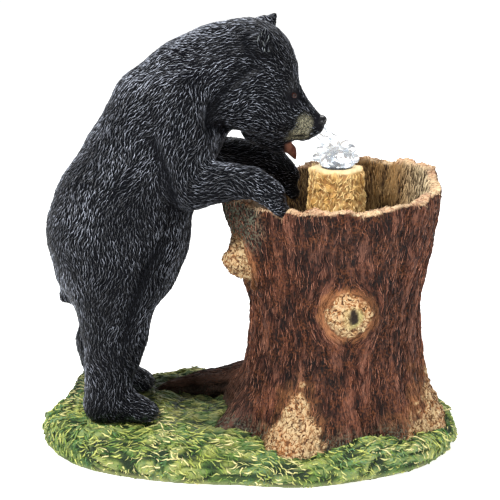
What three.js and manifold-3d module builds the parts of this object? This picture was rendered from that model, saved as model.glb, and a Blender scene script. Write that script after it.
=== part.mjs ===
// A garden fountain: a bear cub stands on a patch of turf and drinks over the rim of a hollow tree
// stump. The stump is the basin. A short log in its middle covers the pump and carries a ring of
// lights round the nozzle that the water comes out of.
// Millimetres, +Z up, +X the way the bear faces. The origin is on the ground under the turf's middle.

import * as THREE from 'three';
import { mergeVertices } from 'three/addons/utils/BufferGeometryUtils.js';
import Module from 'manifold-3d';

// Driving dimensions
const castingGap = 0.4;          // between two castings where one is set into the other

const turfLength = 502;
const turfDepth = 326;
const turfEdgeHeight = 24;       // height of the turf's steep edge
const turfHeight = 41;           // height of the turf under the bear's feet

const stumpSeat = 9;             // the stump's underside, let into the turf
const rimHeight = 318;           // mean height of the stump's broken rim
const rimRadius = 123;
const waistRadius = 100;
const footRadius = 119;
const basinWall = 15;
const basinDepth = 122;

const logHeight = 146;           // from the basin's floor to the log's top
const logRadius = 38;            // at its foot
const logTopRadius = 31;
const logWall = 8;
const lightRadius = 17.5;        // the ring of lights, let into the log's top
const lightHeight = 12;
const nozzleBore = 5;
const lampRadius = 2.6;
const lampCount = 6;
const seatGap = 0.3;             // between two parts that rest on each other

const cubHeight = 480;           // from the soles to the tips of the ears

// Worked out from the driving dimensions
const stumpX = 0.2052 * turfLength;       // the stump's axis, in front of the turf's middle
const basinFloor = rimHeight - basinDepth;
const logTop = basinFloor + seatGap + logHeight;
const degrees = Math.PI / 180;

const wasm = await Module();
wasm.setup();

// Solids and meshes

function solidOf(geometry) {
  const bare = geometry.clone();
  bare.deleteAttribute('normal');
  bare.deleteAttribute('uv');
  const merged = mergeVertices(bare, 1e-3);
  return new wasm.Manifold(new wasm.Mesh({
    numProp: 3,
    vertProperties: new Float32Array(merged.attributes.position.array),
    triVerts: new Uint32Array(merged.index.array),
  }));
}

function geometryOf(solid) {
  const mesh = solid.getMesh();
  const geometry = new THREE.BufferGeometry();
  geometry.setAttribute('position', new THREE.BufferAttribute(mesh.vertProperties, 3));
  geometry.setIndex(new THREE.BufferAttribute(mesh.triVerts, 1));
  geometry.computeVertexNormals();
  return geometry;
}

// The same surface moved outwards by a distance, for the pocket that a casting is set into.
function grown(geometry, distance) {
  const wide = geometry.clone();
  wide.deleteAttribute('uv');
  wide.deleteAttribute('normal');
  const merged = mergeVertices(wide, 1e-3);
  merged.computeVertexNormals();
  const position = merged.attributes.position;
  const normal = merged.attributes.normal;
  for (let i = 0; i < position.count; i += 1) {
    position.setXYZ(
      i,
      position.getX(i) + distance * normal.getX(i),
      position.getY(i) + distance * normal.getY(i),
      position.getZ(i) + distance * normal.getZ(i),
    );
  }
  return merged;
}

// A turned solid whose profile is [radius, height] pairs, with each point then moved by shape().
function turned(profile, segments, shape) {
  const points = profile.map(([radius, height]) => new THREE.Vector2(radius, height));
  const geometry = new THREE.LatheGeometry(points, segments);
  geometry.rotateX(90 * degrees);
  geometry.deleteAttribute('normal');
  geometry.deleteAttribute('uv');
  const merged = mergeVertices(geometry, 1e-3);
  const position = merged.attributes.position;
  for (let i = 0; i < position.count; i += 1) {
    const x = position.getX(i);
    const y = position.getY(i);
    const at = shape(Math.hypot(x, y), Math.atan2(y, x), position.getZ(i));
    position.setXYZ(i, at.radius * Math.cos(at.angle), at.radius * Math.sin(at.angle), at.height);
  }
  merged.computeVertexNormals();
  return merged;
}

const bump = (value, centre, width) => Math.exp(-(((value - centre) / width) ** 2));

function angleBetween(a, b) {
  const turn = Math.abs(a - b) % (2 * Math.PI);
  return Math.min(turn, 2 * Math.PI - turn);
}

// Round forms: a limb is a chain of balls [x, y, z, radius], each pair joined by a cone.

function coneDistance(p, a, b) {
  const [bx, by, bz] = [b[0] - a[0], b[1] - a[1], b[2] - a[2]];
  const [px, py, pz] = [p[0] - a[0], p[1] - a[1], p[2] - a[2]];
  const length2 = bx * bx + by * by + bz * bz;
  const taper = a[3] - b[3];
  const slant = length2 - taper * taper;
  if (slant <= 0) {
    const big = taper > 0 ? a : b;
    return Math.hypot(p[0] - big[0], p[1] - big[1], p[2] - big[2]) - big[3];
  }
  const y = px * bx + py * by + pz * bz;
  const z = y - length2;
  const x2 = (px * length2 - bx * y) ** 2 + (py * length2 - by * y) ** 2 + (pz * length2 - bz * y) ** 2;
  const y2 = y * y * length2;
  const z2 = z * z * length2;
  const k = Math.sign(taper) * taper * taper * x2;
  if (Math.sign(z) * slant * z2 > k) return Math.sqrt(x2 + z2) / length2 - b[3];
  if (Math.sign(y) * slant * y2 < k) return Math.sqrt(x2 + y2) / length2 - a[3];
  return (Math.sqrt((x2 * slant) / length2) + y * taper) / length2 - a[3];
}

function softMin(a, b, blend) {
  const h = Math.max(blend - Math.abs(a - b), 0) / blend;
  return Math.min(a, b) - h * h * blend * 0.25;
}

// Distance to a limb. wide stretches its section sideways about the limb's own middle plane.
function limbDistance(p, limb) {
  const middle = limb.middle ?? limb.balls[0][1];
  const wide = limb.wide ?? 1;
  const q = [p[0], middle + (p[1] - middle) / wide, p[2]];
  let distance = Infinity;
  for (let i = 0; i + 1 < limb.balls.length; i += 1) {
    distance = softMin(distance, coneDistance(q, limb.balls[i], limb.balls[i + 1]), 4);
  }
  return distance;
}

// The surface where distance() is 0, meshed on a grid and drawn on to that surface.
function surfaceOf(distance, low, high, cell) {
  const count = low.map((value, axis) => Math.ceil((high[axis] - value) / cell) + 1);
  const strideY = count[0];
  const strideZ = count[0] * count[1];
  const values = new Float32Array(strideZ * count[2]);
  for (let k = 0; k < count[2]; k += 1) {
    for (let j = 0; j < count[1]; j += 1) {
      for (let i = 0; i < count[0]; i += 1) {
        values[i + j * strideY + k * strideZ] = distance([
          low[0] + i * cell,
          low[1] + j * cell,
          low[2] + k * cell,
        ]);
      }
    }
  }
  const corners = [];
  for (let c = 0; c < 8; c += 1) corners.push([c & 1, (c >> 1) & 1, (c >> 2) & 1]);
  const edges = [];
  for (let a = 0; a < 8; a += 1) {
    for (const axis of [1, 2, 4]) if (!(a & axis)) edges.push([a, a | axis]);
  }
  const vertexAt = new Int32Array(values.length).fill(-1);
  const vertices = [];
  for (let k = 0; k + 1 < count[2]; k += 1) {
    for (let j = 0; j + 1 < count[1]; j += 1) {
      for (let i = 0; i + 1 < count[0]; i += 1) {
        const origin = i + j * strideY + k * strideZ;
        const value = corners.map(([x, y, z]) => values[origin + x + y * strideY + z * strideZ]);
        const sum = [0, 0, 0];
        let crossings = 0;
        for (const [a, b] of edges) {
          if (value[a] < 0 !== value[b] < 0) {
            const t = value[a] / (value[a] - value[b]);
            for (let axis = 0; axis < 3; axis += 1) {
              sum[axis] += corners[a][axis] + t * (corners[b][axis] - corners[a][axis]);
            }
            crossings += 1;
          }
        }
        if (crossings) {
          vertexAt[origin] = vertices.length;
          vertices.push([
            low[0] + (i + sum[0] / crossings) * cell,
            low[1] + (j + sum[1] / crossings) * cell,
            low[2] + (k + sum[2] / crossings) * cell,
          ]);
        }
      }
    }
  }
  const faces = [];
  const strides = [1, strideY, strideZ];
  for (let k = 1; k + 1 < count[2]; k += 1) {
    for (let j = 1; j + 1 < count[1]; j += 1) {
      for (let i = 1; i + 1 < count[0]; i += 1) {
        const at = i + j * strideY + k * strideZ;
        for (let axis = 0; axis < 3; axis += 1) {
          const inside = values[at] < 0;
          if (inside === values[at + strides[axis]] < 0) continue;
          const u = strides[(axis + 1) % 3];
          const v = strides[(axis + 2) % 3];
          const ring = [at, at - u, at - u - v, at - v].map((cellIndex) => vertexAt[cellIndex]);
          if (!inside) ring.reverse();
          faces.push([ring[0], ring[1], ring[2]], [ring[0], ring[2], ring[3]]);
        }
      }
    }
  }
  // Where two sheets meet in one cell of the grid, a slightly wider grid tells them apart.
  return edgesPair(faces) ? { vertices, faces } : surfaceOf(distance, low, high, 1.01 * cell);
}

function edgesPair(faces) {
  const seen = new Set();
  for (const face of faces) {
    for (let s = 0; s < 3; s += 1) {
      const edge = `${face[s]} ${face[(s + 1) % 3]}`;
      if (seen.has(edge)) return false;
      seen.add(edge);
    }
  }
  return true;
}

// Joins the ends of the least telling edges until about the wanted number of triangles is left.
function simplified({ vertices, faces }, wanted) {
  const sub = (a, b) => [a[0] - b[0], a[1] - b[1], a[2] - b[2]];
  const dot = (a, b) => a[0] * b[0] + a[1] * b[1] + a[2] * b[2];
  const cross = (a, b) => [
    a[1] * b[2] - a[2] * b[1],
    a[2] * b[0] - a[0] * b[2],
    a[0] * b[1] - a[1] * b[0],
  ];
  const normalOf = (face, moved = -1, other = -1, place = null) => {
    const [a, b, c] = face.map((i) => (i === moved || i === other ? place : vertices[i]));
    return cross(sub(b, a), sub(c, a));
  };
  const errorAt = (q, p) => {
    const [x, y, z] = p;
    return (
      q[0] * x * x + q[1] * y * y + q[2] * z * z
      + 2 * (q[3] * x * y + q[4] * x * z + q[5] * y * z + q[6] * x + q[7] * y + q[8] * z) + q[9]
    );
  };
  const quadrics = vertices.map(() => new Float64Array(10));
  for (const face of faces) {
    const n = normalOf(face);
    const size = Math.hypot(...n) || 1;
    const [a, b, c] = n.map((value) => value / size);
    const d = -dot([a, b, c], vertices[face[0]]);
    const plane = [a * a, b * b, c * c, a * b, a * c, b * c, a * d, b * d, c * d, d * d];
    for (const i of face) plane.forEach((value, n10) => { quadrics[i][n10] += value * size; });
  }
  let alive = faces.map((face) => [...face]);
  for (let round = 0; round < 60 && alive.length > wanted; round += 1) {
    const around = vertices.map(() => []);
    alive.forEach((face, f) => face.forEach((i) => around[i].push(f)));
    const edges = [];
    for (const face of alive) {
      for (let s = 0; s < 3; s += 1) {
        const [a, b] = [face[s], face[(s + 1) % 3]];
        if (a > b) continue;
        const q = quadrics[a].map((value, i) => value + quadrics[b][i]);
        const middle = vertices[a].map((value, i) => (value + vertices[b][i]) / 2);
        const best = [middle, vertices[a], vertices[b]].reduce((x, y) => (
          errorAt(q, y) < errorAt(q, x) * 0.7 ? y : x
        ));
        const length2 = dot(sub(vertices[a], vertices[b]), sub(vertices[a], vertices[b]));
        edges.push({ a, b, best, cost: errorAt(q, best) + 0.02 * length2 * length2 * 0.01 });
      }
    }
    edges.sort((x, y) => x.cost - y.cost);
    const touched = new Uint8Array(vertices.length);
    const dead = new Uint8Array(alive.length);
    let left = alive.length;
    const most = Math.min(edges.length, Math.ceil(edges.length * 0.35));
    for (const { a, b, best } of edges.slice(0, most)) {
      if (left <= wanted) break;
      const near = [...new Set([...around[a], ...around[b]])];
      if (near.some((f) => alive[f].some((i) => touched[i]))) continue;
      const ringA = new Set(around[a].flatMap((f) => alive[f]));
      const ringB = new Set(around[b].flatMap((f) => alive[f]));
      const shared = [...ringA].filter((i) => ringB.has(i) && i !== a && i !== b);
      if (shared.length !== 2) continue;
      const kept = near.filter((f) => !(alive[f].includes(a) && alive[f].includes(b)));
      const folds = kept.some((f) => {
        const before = normalOf(alive[f]);
        const after = normalOf(alive[f], a, b, best);
        const corners = alive[f].map((i) => (i === a || i === b ? best : vertices[i]));
        const longest2 = Math.max(...corners.map((corner, i) => {
          const side = sub(corner, corners[(i + 1) % 3]);
          return dot(side, side);
        }));
        const thin = Math.hypot(...after) < 0.12 * longest2;
        return thin || dot(before, after) < 0.4 * Math.hypot(...before) * Math.hypot(...after);
      });
      if (folds) continue;
      near.forEach((f) => alive[f].forEach((i) => { touched[i] = 1; }));
      for (const f of near) if (!kept.includes(f)) dead[f] = 1;
      for (const f of kept) alive[f] = alive[f].map((i) => (i === b ? a : i));
      vertices[a] = [...best];
      quadrics[b].forEach((value, i) => { quadrics[a][i] += value; });
      left -= 2;
    }
    alive = alive.filter((_, f) => !dead[f]);
  }
  const used = new Map();
  const index = alive.flat().map((i) => {
    if (!used.has(i)) used.set(i, used.size);
    return used.get(i);
  });
  const geometry = new THREE.BufferGeometry();
  const flat = [...used.keys()].flatMap((i) => vertices[i]);
  geometry.setAttribute('position', new THREE.Float32BufferAttribute(flat, 3));
  geometry.setIndex(index);
  geometry.computeVertexNormals();
  return geometry;
}

// The stump: a flared trunk with fluted bark, a broken rim, root spurs and stubs of cut branches.

const rimWave = (angle) => (
  18 * bump(angleBetween(angle, 22 * degrees), 0, 0.36)
  + 10 * bump(angleBetween(angle, 58 * degrees), 0, 0.3)
  + 7 * bump(angleBetween(angle, 82 * degrees), 0, 0.26)
  - 15 * bump(angleBetween(angle, 162 * degrees), 0, 0.5)
  - 6 * bump(angleBetween(angle, -140 * degrees), 0, 0.5)
  - 4 * bump(angleBetween(angle, -80 * degrees), 0, 0.6)
  + 1.6 * Math.sin(11 * angle + 0.4) + 1.3 * Math.sin(17 * angle + 1.7)
);

// From the stump's axis to the turf's edge in a direction.
function toTurfEdge(angle) {
  const along = Math.cos(angle) / (turfLength / 2);
  const across = Math.sin(angle) / (turfDepth / 2);
  const offset = stumpX / (turfLength / 2);
  const square = along ** 2 + across ** 2;
  return (Math.sqrt((offset * along) ** 2 + square * (1 - offset ** 2)) - offset * along) / square;
}

// The root spurs: direction in degrees round the stump, how far each one reaches out at the ground
// as a share of the way to the turf's edge, how high it climbs the trunk, and half its width as an
// angle.
const roots = [
  { turn: -8, share: 0.905, high: 86, wide: 0.3 },
  { turn: -46, share: 0.86, high: 66, wide: 0.2 },
  { turn: -84, share: 0.86, high: 60, wide: 0.16 },
  { turn: -116, share: 0.825, high: 90, wide: 0.3 },
  { turn: -158, share: 0.532, high: 72, wide: 0.22 },
  { turn: 163, share: 0.435, high: 90, wide: 0.3 },
  { turn: 112, share: 0.771, high: 80, wide: 0.26 },
  { turn: 50, share: 0.885, high: 84, wide: 0.28 },
].map((root) => ({ ...root, reach: root.share * toTurfEdge(root.turn * degrees) }));

const spur = (angle, rise) => roots.reduce((sum, { turn, reach, high, wide }) => {
  const foot = (reach - footRadius + 4) * (1 - THREE.MathUtils.smoothstep(rise, 0, high));
  const ridge = 5 * (1 - THREE.MathUtils.smoothstep(rise, high, 2.3 * high));
  return sum + (foot + ridge) * bump(angleBetween(angle, turn * degrees), 0, wide);
}, 0);

// Knots: direction, height, how far each one stands out and how wide it spreads.
const knots = [
  { turn: -82, height: 188, out: 15, spread: 23 },
  { turn: -165, height: 236, out: 12, spread: 30 },
];

const knotSwell = (angle, height) => knots.reduce((sum, knot) => {
  const across = waistRadius * angleBetween(angle, knot.turn * degrees);
  return sum + knot.out * bump(Math.hypot(across, height - knot.height), 0, knot.spread);
}, 0);

// The lip at the back, by the bear, leans out past the rest of the rim.
const lipLean = (angle, height) => (
  17 * bump(angleBetween(angle, 168 * degrees), 0, 0.5) * THREE.MathUtils.smoothstep(height, 235, 312)
);

const trunkRadius = (height) => {
  const share = (height - stumpSeat) / (rimHeight - stumpSeat);
  const flare = (rimRadius - waistRadius) * THREE.MathUtils.smoothstep(share, 0.5, 1.02);
  const foot = (footRadius - waistRadius) * (1 - THREE.MathUtils.smoothstep(share, 0, 0.4));
  return waistRadius + flare + foot;
};

const bark = (angle, height) => (
  1.7 * Math.sin(11 * angle + 0.012 * height + 1.2 * Math.sin(2 * angle))
  + 1.4 * Math.sin(17 * angle - 0.015 * height + 1.5 * Math.sin(3 * angle + 1))
);

const trunkRings = [0, 0.07, 0.14, 0.22, 0.32, 0.44, 0.535, 0.6, 0.68, 0.76, 0.84, 0.92, 1];

function stumpTrunk() {
  const outer = trunkRings.map((share) => {
    const height = stumpSeat + (rimHeight - stumpSeat) * share;
    return [trunkRadius(height), height];
  });
  const rimInner = rimRadius - basinWall;
  const floorRadius = waistRadius - basinWall;
  const inner = [
    [rimInner + 3, rimHeight + 1.5],
    [rimInner, rimHeight - 4],
    [rimInner - 6, rimHeight - 0.4 * basinDepth],
    [floorRadius, basinFloor + 8],
    [floorRadius - 10, basinFloor],
  ];
  const profile = [[0, stumpSeat], ...outer, ...inner, [0, basinFloor]];
  const trunk = turned(profile, 64, (radius, angle, height) => {
    const outside = radius > trunkRadius(height) - 1;
    const high = THREE.MathUtils.smoothstep(height, basinFloor + 12, rimHeight);
    let moved = radius;
    if (outside) moved += bark(angle, height) + spur(angle, height - stumpSeat) + knotSwell(angle, height);
    else if (radius > floorRadius - 1) moved += 0.7 * bark(angle + 0.1, height);
    if (radius > floorRadius - 1) moved += lipLean(angle, height);
    return { radius: moved, angle, height: height + high * rimWave(angle) };
  });
  trunk.translate(stumpX, 0, 0);
  return trunk;
}

// The basin's hollow by itself, to clear it of what is joined on to the trunk from outside.
function basinHollow() {
  const floorRadius = waistRadius - basinWall;
  const profile = [
    [0, basinFloor],
    [floorRadius - 10, basinFloor],
    [floorRadius - 3, basinFloor + 8],
    [rimRadius - basinWall - 10, rimHeight - 0.4 * basinDepth],
    [rimRadius - basinWall - 10, rimHeight + 60],
    [0, rimHeight + 60],
  ];
  const hollow = turned(profile, 24, (radius, angle, height) => ({ radius, angle, height }));
  hollow.translate(stumpX, 0, 0);
  return hollow;
}

// The stub of a cut branch under the bear's paws, and the long root that runs back past its feet.
const branchStub = { blend: 6, balls: [
  [stumpX - 84, -22, 236, 29], [stumpX - 110, -29, 237, 23], [stumpX - 122, -32, 236, 15.5],
] };
const longRoot = { blend: 8, balls: [
  [84, 40, 27, 27], [116, 52, 14, 23], [162, 58, 8, 18], [200, 61, 1, 12], [220, 63, -6, 8],
].map(([back, side, rise, radius]) => [stumpX - back, side, turfHeight + rise, radius]) };

function stumpBranch(limb, high) {
  const distance = (p) => limbDistance(p, { ...limb, middle: 0 });
  return simplified(surfaceOf(distance, [-160, -80, 0], [80, 110, high], 7), 220);
}

// The hollow in the front knot, left by the rotted heart of the branch.
function knotHollow() {
  const { turn, height, out } = knots[0];
  const hollow = new THREE.SphereGeometry(1, 10, 7);
  hollow.scale(7, 10, 11);
  const reach = waistRadius + out + 4;
  hollow.translate(stumpX + reach * Math.cos(turn * degrees), reach * Math.sin(turn * degrees), height);
  return hollow;
}

// The turf: a rounded oval slab with mounds, fuller at the front beside the stump.

const turfOutline = (angle) => {
  const oval = 1 / Math.hypot(Math.cos(angle) / (turfLength / 2), Math.sin(angle) / (turfDepth / 2));
  const lobes = 6 * bump(angleBetween(angle, -55 * degrees), 0, 0.35)
    + 5 * bump(angleBetween(angle, -28 * degrees), 0, 0.25)
    - 6 * bump(angleBetween(angle, -100 * degrees), 0, 0.3)
    - 9 * bump(angleBetween(angle, 148 * degrees), 0, 0.3);
  return oval + lobes + 1.8 * Math.sin(4 * angle + 0.4) + 1.2 * Math.sin(9 * angle);
};

// Mounds: place in the plan as shares of half the turf's length and depth, rise above the turf, and
// how far each one spreads.
const mounds = [
  { x: -0.797, y: 0.663, rise: 24, spread: 26 },
  { x: -0.51, y: 0.074, rise: 7, spread: 32 },
  { x: 0.526, y: -0.896, rise: 14, spread: 30 },
  { x: -0.159, y: -0.706, rise: -9, spread: 60 },
  { x: 0.199, y: -0.92, rise: -13, spread: 60 },
  { x: 0.884, y: -0.184, rise: -9, spread: 50 },
];

const turfRise = (x, y) => (
  mounds.reduce((sum, mound) => (
    sum + mound.rise * bump(
      Math.hypot(x - (mound.x * turfLength) / 2, y - (mound.y * turfDepth) / 2), 0, mound.spread,
    )
  ), 0)
  + 1.6 * Math.sin(0.07 * x + 0.05 * y) + 1.4 * Math.sin(0.09 * y - 0.04 * x + 2)
);

function turf() {
  const radius = turfLength / 2;
  const profile = [
    [0, 0],
    [radius - 3, 0],
    [radius, 6],
    [radius, turfEdgeHeight],
    [radius - 8, 0.82 * turfHeight],
    [radius - 24, 0.97 * turfHeight],
    [radius - 60, turfHeight],
    [radius - 110, turfHeight],
    [radius - 180, turfHeight],
    [0, turfHeight],
  ];
  return turned(profile, 48, (distance, angle, height) => {
    const reach = distance * (turfOutline(angle) / radius);
    const high = THREE.MathUtils.smoothstep(height, 6, turfHeight);
    const rise = high * turfRise(reach * Math.cos(angle), reach * Math.sin(angle));
    return { radius: reach, angle, height: height + rise };
  });
}

// The bear cub. Its balls are placed for a cub 480 high and scaled with its height.

const cub = cubHeight / 480;
const onTurf = ([x, y, z, radius]) => [x * cub, y * cub, turfHeight + (z - 41) * cub, radius * cub];
const stumpShift = stumpX - 103;
const rimShift = rimHeight - 318;
// The paws rest on the stump's rim, so they keep to it.
const onRim = ([x, y, z, radius]) => [x + stumpShift, y, z + rimShift, radius];

const cubLimbs = [
  { name: 'back', blend: 17, balls: [
    [-166, 0, 202, 56], [-160, 0, 237, 77], [-157, 0, 265, 85], [-152, 0, 291, 80],
    [-131, 0, 331, 75], [-97, 0, 400, 70], [-68, 0, 434, 62], [-33, 0, 455, 58], [-2, 0, 464, 52],
  ].map(onTurf) },
  { name: 'skull', blend: 12, balls: [[-2, 0, 462, 53], [9, 0, 453, 48]].map(onTurf) },
];
for (const side of [-1, 1]) {
  cubLimbs.push({
    name: 'cheek',
    blend: 14,
    balls: [[2, side * 22, 424, 35], [24, side * 16, 413, 31]].map(onTurf),
  });
}
cubLimbs.push({
  name: 'muzzle',
  blend: 10,
  wide: 0.95,
  balls: [[32, 0, 412, 37], [52, 0, 402, 25], [62, 0, 395, 20.5], [76, 0, 394.5, 13.5]].map(onTurf),
});
const cubJaw = { blend: 5, wide: 1.2, balls: [[8, 0, 390, 20], [34, 0, 366, 9]].map(onTurf) };
const cubTongue = { blend: 2, wide: 1.6, balls: [
  [38, 0, 374, 5.5], [50, 0, 362, 5.5], [55, 0, 350, 3],
].map(onTurf) };

// The near arm and leg are on the bear's right, at -y. The far ones stand a little differently.
const nearArm = { name: 'near arm', blend: 15, balls: [
  ...[[-84, -46, 424, 42], [-78, -60, 376, 35], [-72, -66, 337, 31]].map(onTurf),
  ...[[-26, -74, 341, 21], [4, -80, 341, 17], [27, -86, 328, 15.5]].map(onRim),
] };
const farArm = { name: 'far arm', blend: 15, balls: [
  ...[[-84, 46, 424, 42], [-68, 62, 376, 34], [-54, 66, 338, 28]].map(onTurf),
  ...[[-14, 70, 341, 20.5], [26, 70, 336, 18], [46, 68, 318, 15]].map(onRim),
] };
const nearLeg = { name: 'near leg', blend: 12, balls: [
  [-160, -38, 214, 54], [-160, -44, 154, 39], [-162, -47, 126, 33], [-168, -50, 100, 28],
  [-171, -50, 78, 26.5], [-173, -50, 66, 24],
].map(onTurf) };
const farLeg = { name: 'far leg', blend: 12, balls: [
  [-164, 36, 208, 53], [-166, 46, 150, 37], [-186, 50, 111, 30], [-183, 50, 92, 27],
  [-180, 50, 78, 25], [-180, 50, 66, 24],
].map(onTurf) };
const nearSole = { name: 'near sole', blend: 12, wide: 1.15, balls: [
  [-175, -50, 63, 21], [-150, -51, 61, 18], [-132, -52, 57, 16],
].map(onTurf) };
const farSole = { name: 'far sole', blend: 12, wide: 1.15, balls: [
  [-182, 50, 63, 21], [-160, 51, 62, 18], [-142, 52, 59, 16],
].map(onTurf) };
cubLimbs.push(nearArm, farArm, nearLeg, farLeg, nearSole, farSole);
const cubTail = { name: 'tail', blend: 6, balls: [[-214, 0, 204, 14], [-223, 0, 181, 8.5]].map(onTurf) };

// Toes fan out from the front of each paw.
const toes = [];
function addToes(place, x, y, z, length, drop, radius, spread) {
  for (let i = -2; i <= 2; i += 1) {
    const back = [x - 0.5 * length - 1.5 * Math.abs(i), y + i * spread * 0.8, z, radius];
    const front = [x + 0.5 * length - 2.5 * Math.abs(i), y + i * spread, z - drop, radius * 0.86];
    toes.push({ name: 'toe', blend: 3.5, balls: [back, front].map(place) });
  }
}
addToes(onTurf, -122, -52, 54, 14, 1, 8.6, 9.6);
addToes(onTurf, -132, 52, 57, 14, 1, 8.6, 9.6);
addToes(onRim, 36, -88, 318, 12, 8, 7.4, 7.6);
addToes(onRim, 52, 68, 306, 10, 12, 7.4, 7.6);

// Ears lean forward and are cupped in front.
const ears = [
  { balls: [[5, -39, 487, 14.5], [11, -46, 496, 12.5], [19, -50, 503, 6]].map(onTurf), cup: onTurf([29, -59, 495, 12]) },
  { balls: [[4, 34, 492, 15], [15, 37, 504, 12.5], [28, 37, 514, 5]].map(onTurf), cup: onTurf([35, 47, 503, 12]) },
];
const sockets = [-1, 1].map((side) => onTurf([55, side * 26, 434, 7]));

const within = (p, ball) => Math.hypot(p[0] - ball[0], p[1] - ball[1], p[2] - ball[2]) - ball[3];

function cubDistance(p) {
  let distance = Infinity;
  const join = (limb) => { distance = softMin(distance, limbDistance(p, limb), limb.blend * cub); };
  cubLimbs.forEach(join);
  join(cubJaw);
  for (const ball of sockets) distance = -softMin(-distance, within(p, ball), 8 * cub);
  join(cubTail);
  toes.forEach(join);
  for (const ear of ears) {
    const flap = Math.max(limbDistance(p, { balls: ear.balls }), -within(p, ear.cup));
    distance = softMin(distance, flap, 5 * cub);
  }
  join(cubTongue);
  return distance;
}

function cubBody() {
  const low = [-262 * cub, -122 * cub, turfHeight - 14];
  const high = [110 * cub, 122 * cub, turfHeight + 1.03 * cubHeight];
  return simplified(surfaceOf(cubDistance, low, high, 5.5), 3760);
}

// The pump cover: a short log with a rippled side, open below, with a hole for the lights on top.
function pumpLog() {
  const foot = basinFloor + seatGap;
  const seat = logTop - lightHeight;
  const profile = [
    [logRadius - logWall, foot],
    [logRadius, foot],
    [logRadius - 1, foot + 0.25 * logHeight],
    [logTopRadius + 3, foot + 0.5 * logHeight],
    [logTopRadius + 1, foot + 0.75 * logHeight],
    [logTopRadius, logTop - 3],
    [logTopRadius - 4, logTop],
    [lightRadius + seatGap, logTop],
    [lightRadius + seatGap, seat],
    [lightRadius - 5, seat],
    [lightRadius - 5, seat - 6],
    [logTopRadius - logWall, seat - 14],
    [logRadius - logWall, foot],
  ];
  const log = turned(profile, 26, (radius, angle, height) => {
    const outside = THREE.MathUtils.smoothstep(radius, lightRadius + 6, logTopRadius);
    const ripple = 1.2 * Math.sin(7 * angle + 0.03 * height) + 0.8 * Math.sin(12 * angle);
    const skin = radius > logRadius - logWall + 1 || height > seat;
    return { radius: radius + (skin ? outside * ripple : 0), angle, height };
  });
  log.translate(stumpX, 0, 0);
  return log;
}

// The light ring drops into the log's top. Its channel holds the lamps, and water rises in its bore.
function lightRing() {
  const low = logTop - lightHeight + seatGap;
  const channel = 2 * lampRadius + 2 * seatGap;
  const middle = 0.5 * (nozzleBore + lightRadius) + 1;
  const profile = [
    [nozzleBore, low],
    [lightRadius, low],
    [lightRadius, logTop + 1],
    [middle + channel / 2, logTop + 2],
    [middle + channel / 2, logTop - 2],
    [middle - channel / 2, logTop - 2],
    [middle - channel / 2, logTop + 2],
    [nozzleBore + 2, logTop + 4],
    [nozzleBore, logTop + 4],
    [nozzleBore, low],
  ];
  const ring = turned(profile, 20, (radius, angle, height) => ({ radius, angle, height }));
  ring.translate(stumpX, 0, 0);
  return { ring, middle };
}

// Assembly

const cubMesh = cubBody();
const cubSolid = solidOf(cubMesh);
const cubPocket = solidOf(grown(cubMesh, castingGap)).add(cubSolid);

const below = new THREE.BoxGeometry(900, 900, 200);
below.translate(0, 0, stumpSeat - 100);
const stumpSolid = solidOf(stumpTrunk())
  .add(solidOf(stumpBranch(branchStub, 300)))
  .add(solidOf(stumpBranch(longRoot, 140)).subtract(solidOf(below)))
  .subtract(solidOf(basinHollow()))
  .subtract(solidOf(knotHollow()));
const stumpPocket = solidOf(grown(geometryOf(stumpSolid), castingGap)).add(stumpSolid);

const turfSolid = solidOf(turf()).subtract(stumpPocket).subtract(cubPocket);
const { ring, middle } = lightRing();

const finishes = {
  turf: { color: 0x6f8a3a, roughness: 0.85, metalness: 0 },
  bark: { color: 0x6b3f2c, roughness: 0.9, metalness: 0 },
  fur: { color: 0x1d1f23, roughness: 0.6, metalness: 0 },
  wood: { color: 0xc0913f, roughness: 0.8, metalness: 0 },
  plastic: { color: 0x14161a, roughness: 0.35, metalness: 0 },
  lamp: { color: 0xf4f6ff, roughness: 0.1, metalness: 0 },
};

const fountain = new THREE.Group();
function place(name, geometry, finish) {
  const mesh = new THREE.Mesh(geometry, new THREE.MeshStandardMaterial(finishes[finish]));
  mesh.name = name;
  fountain.add(mesh);
  return mesh;
}

place('turf_base', geometryOf(turfSolid), 'turf');
place('stump_basin', geometryOf(stumpSolid.subtract(cubPocket)), 'bark');
place('bear_cub', geometryOf(cubSolid), 'fur');
place('pump_log', pumpLog(), 'wood');
place('light_ring', ring, 'plastic');
for (let i = 0; i < lampCount; i += 1) {
  const angle = (2 * Math.PI * (i + 0.5)) / lampCount;
  const lamp = place(`lamp_${i + 1}`, new THREE.SphereGeometry(lampRadius, 8, 4), 'lamp');
  lamp.position.set(
    stumpX + middle * Math.cos(angle),
    middle * Math.sin(angle),
    logTop - 2 + seatGap + lampRadius,
  );
}

export default fountain;
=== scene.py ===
import math
import bpy
import bmesh
import numpy as np
from mathutils import Matrix, Vector, noise
from mathutils.bvhtree import BVHTree


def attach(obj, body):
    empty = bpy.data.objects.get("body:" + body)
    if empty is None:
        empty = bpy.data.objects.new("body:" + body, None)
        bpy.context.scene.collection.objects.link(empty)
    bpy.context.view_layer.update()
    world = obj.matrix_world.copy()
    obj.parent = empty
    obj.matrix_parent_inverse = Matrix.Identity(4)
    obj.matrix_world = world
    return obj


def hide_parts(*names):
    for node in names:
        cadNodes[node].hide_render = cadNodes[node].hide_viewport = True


print("frame: loading the packed fountain")
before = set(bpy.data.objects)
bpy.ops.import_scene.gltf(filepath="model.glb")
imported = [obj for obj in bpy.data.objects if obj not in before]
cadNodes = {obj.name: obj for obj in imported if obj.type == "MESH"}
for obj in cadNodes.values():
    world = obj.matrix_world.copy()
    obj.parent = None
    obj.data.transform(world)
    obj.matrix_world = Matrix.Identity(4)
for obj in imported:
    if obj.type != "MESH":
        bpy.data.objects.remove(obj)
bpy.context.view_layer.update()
scene = bpy.context.scene
scene.view_settings.view_transform = "Standard"
mm = 0.001

# Camera, lights and floor

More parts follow.
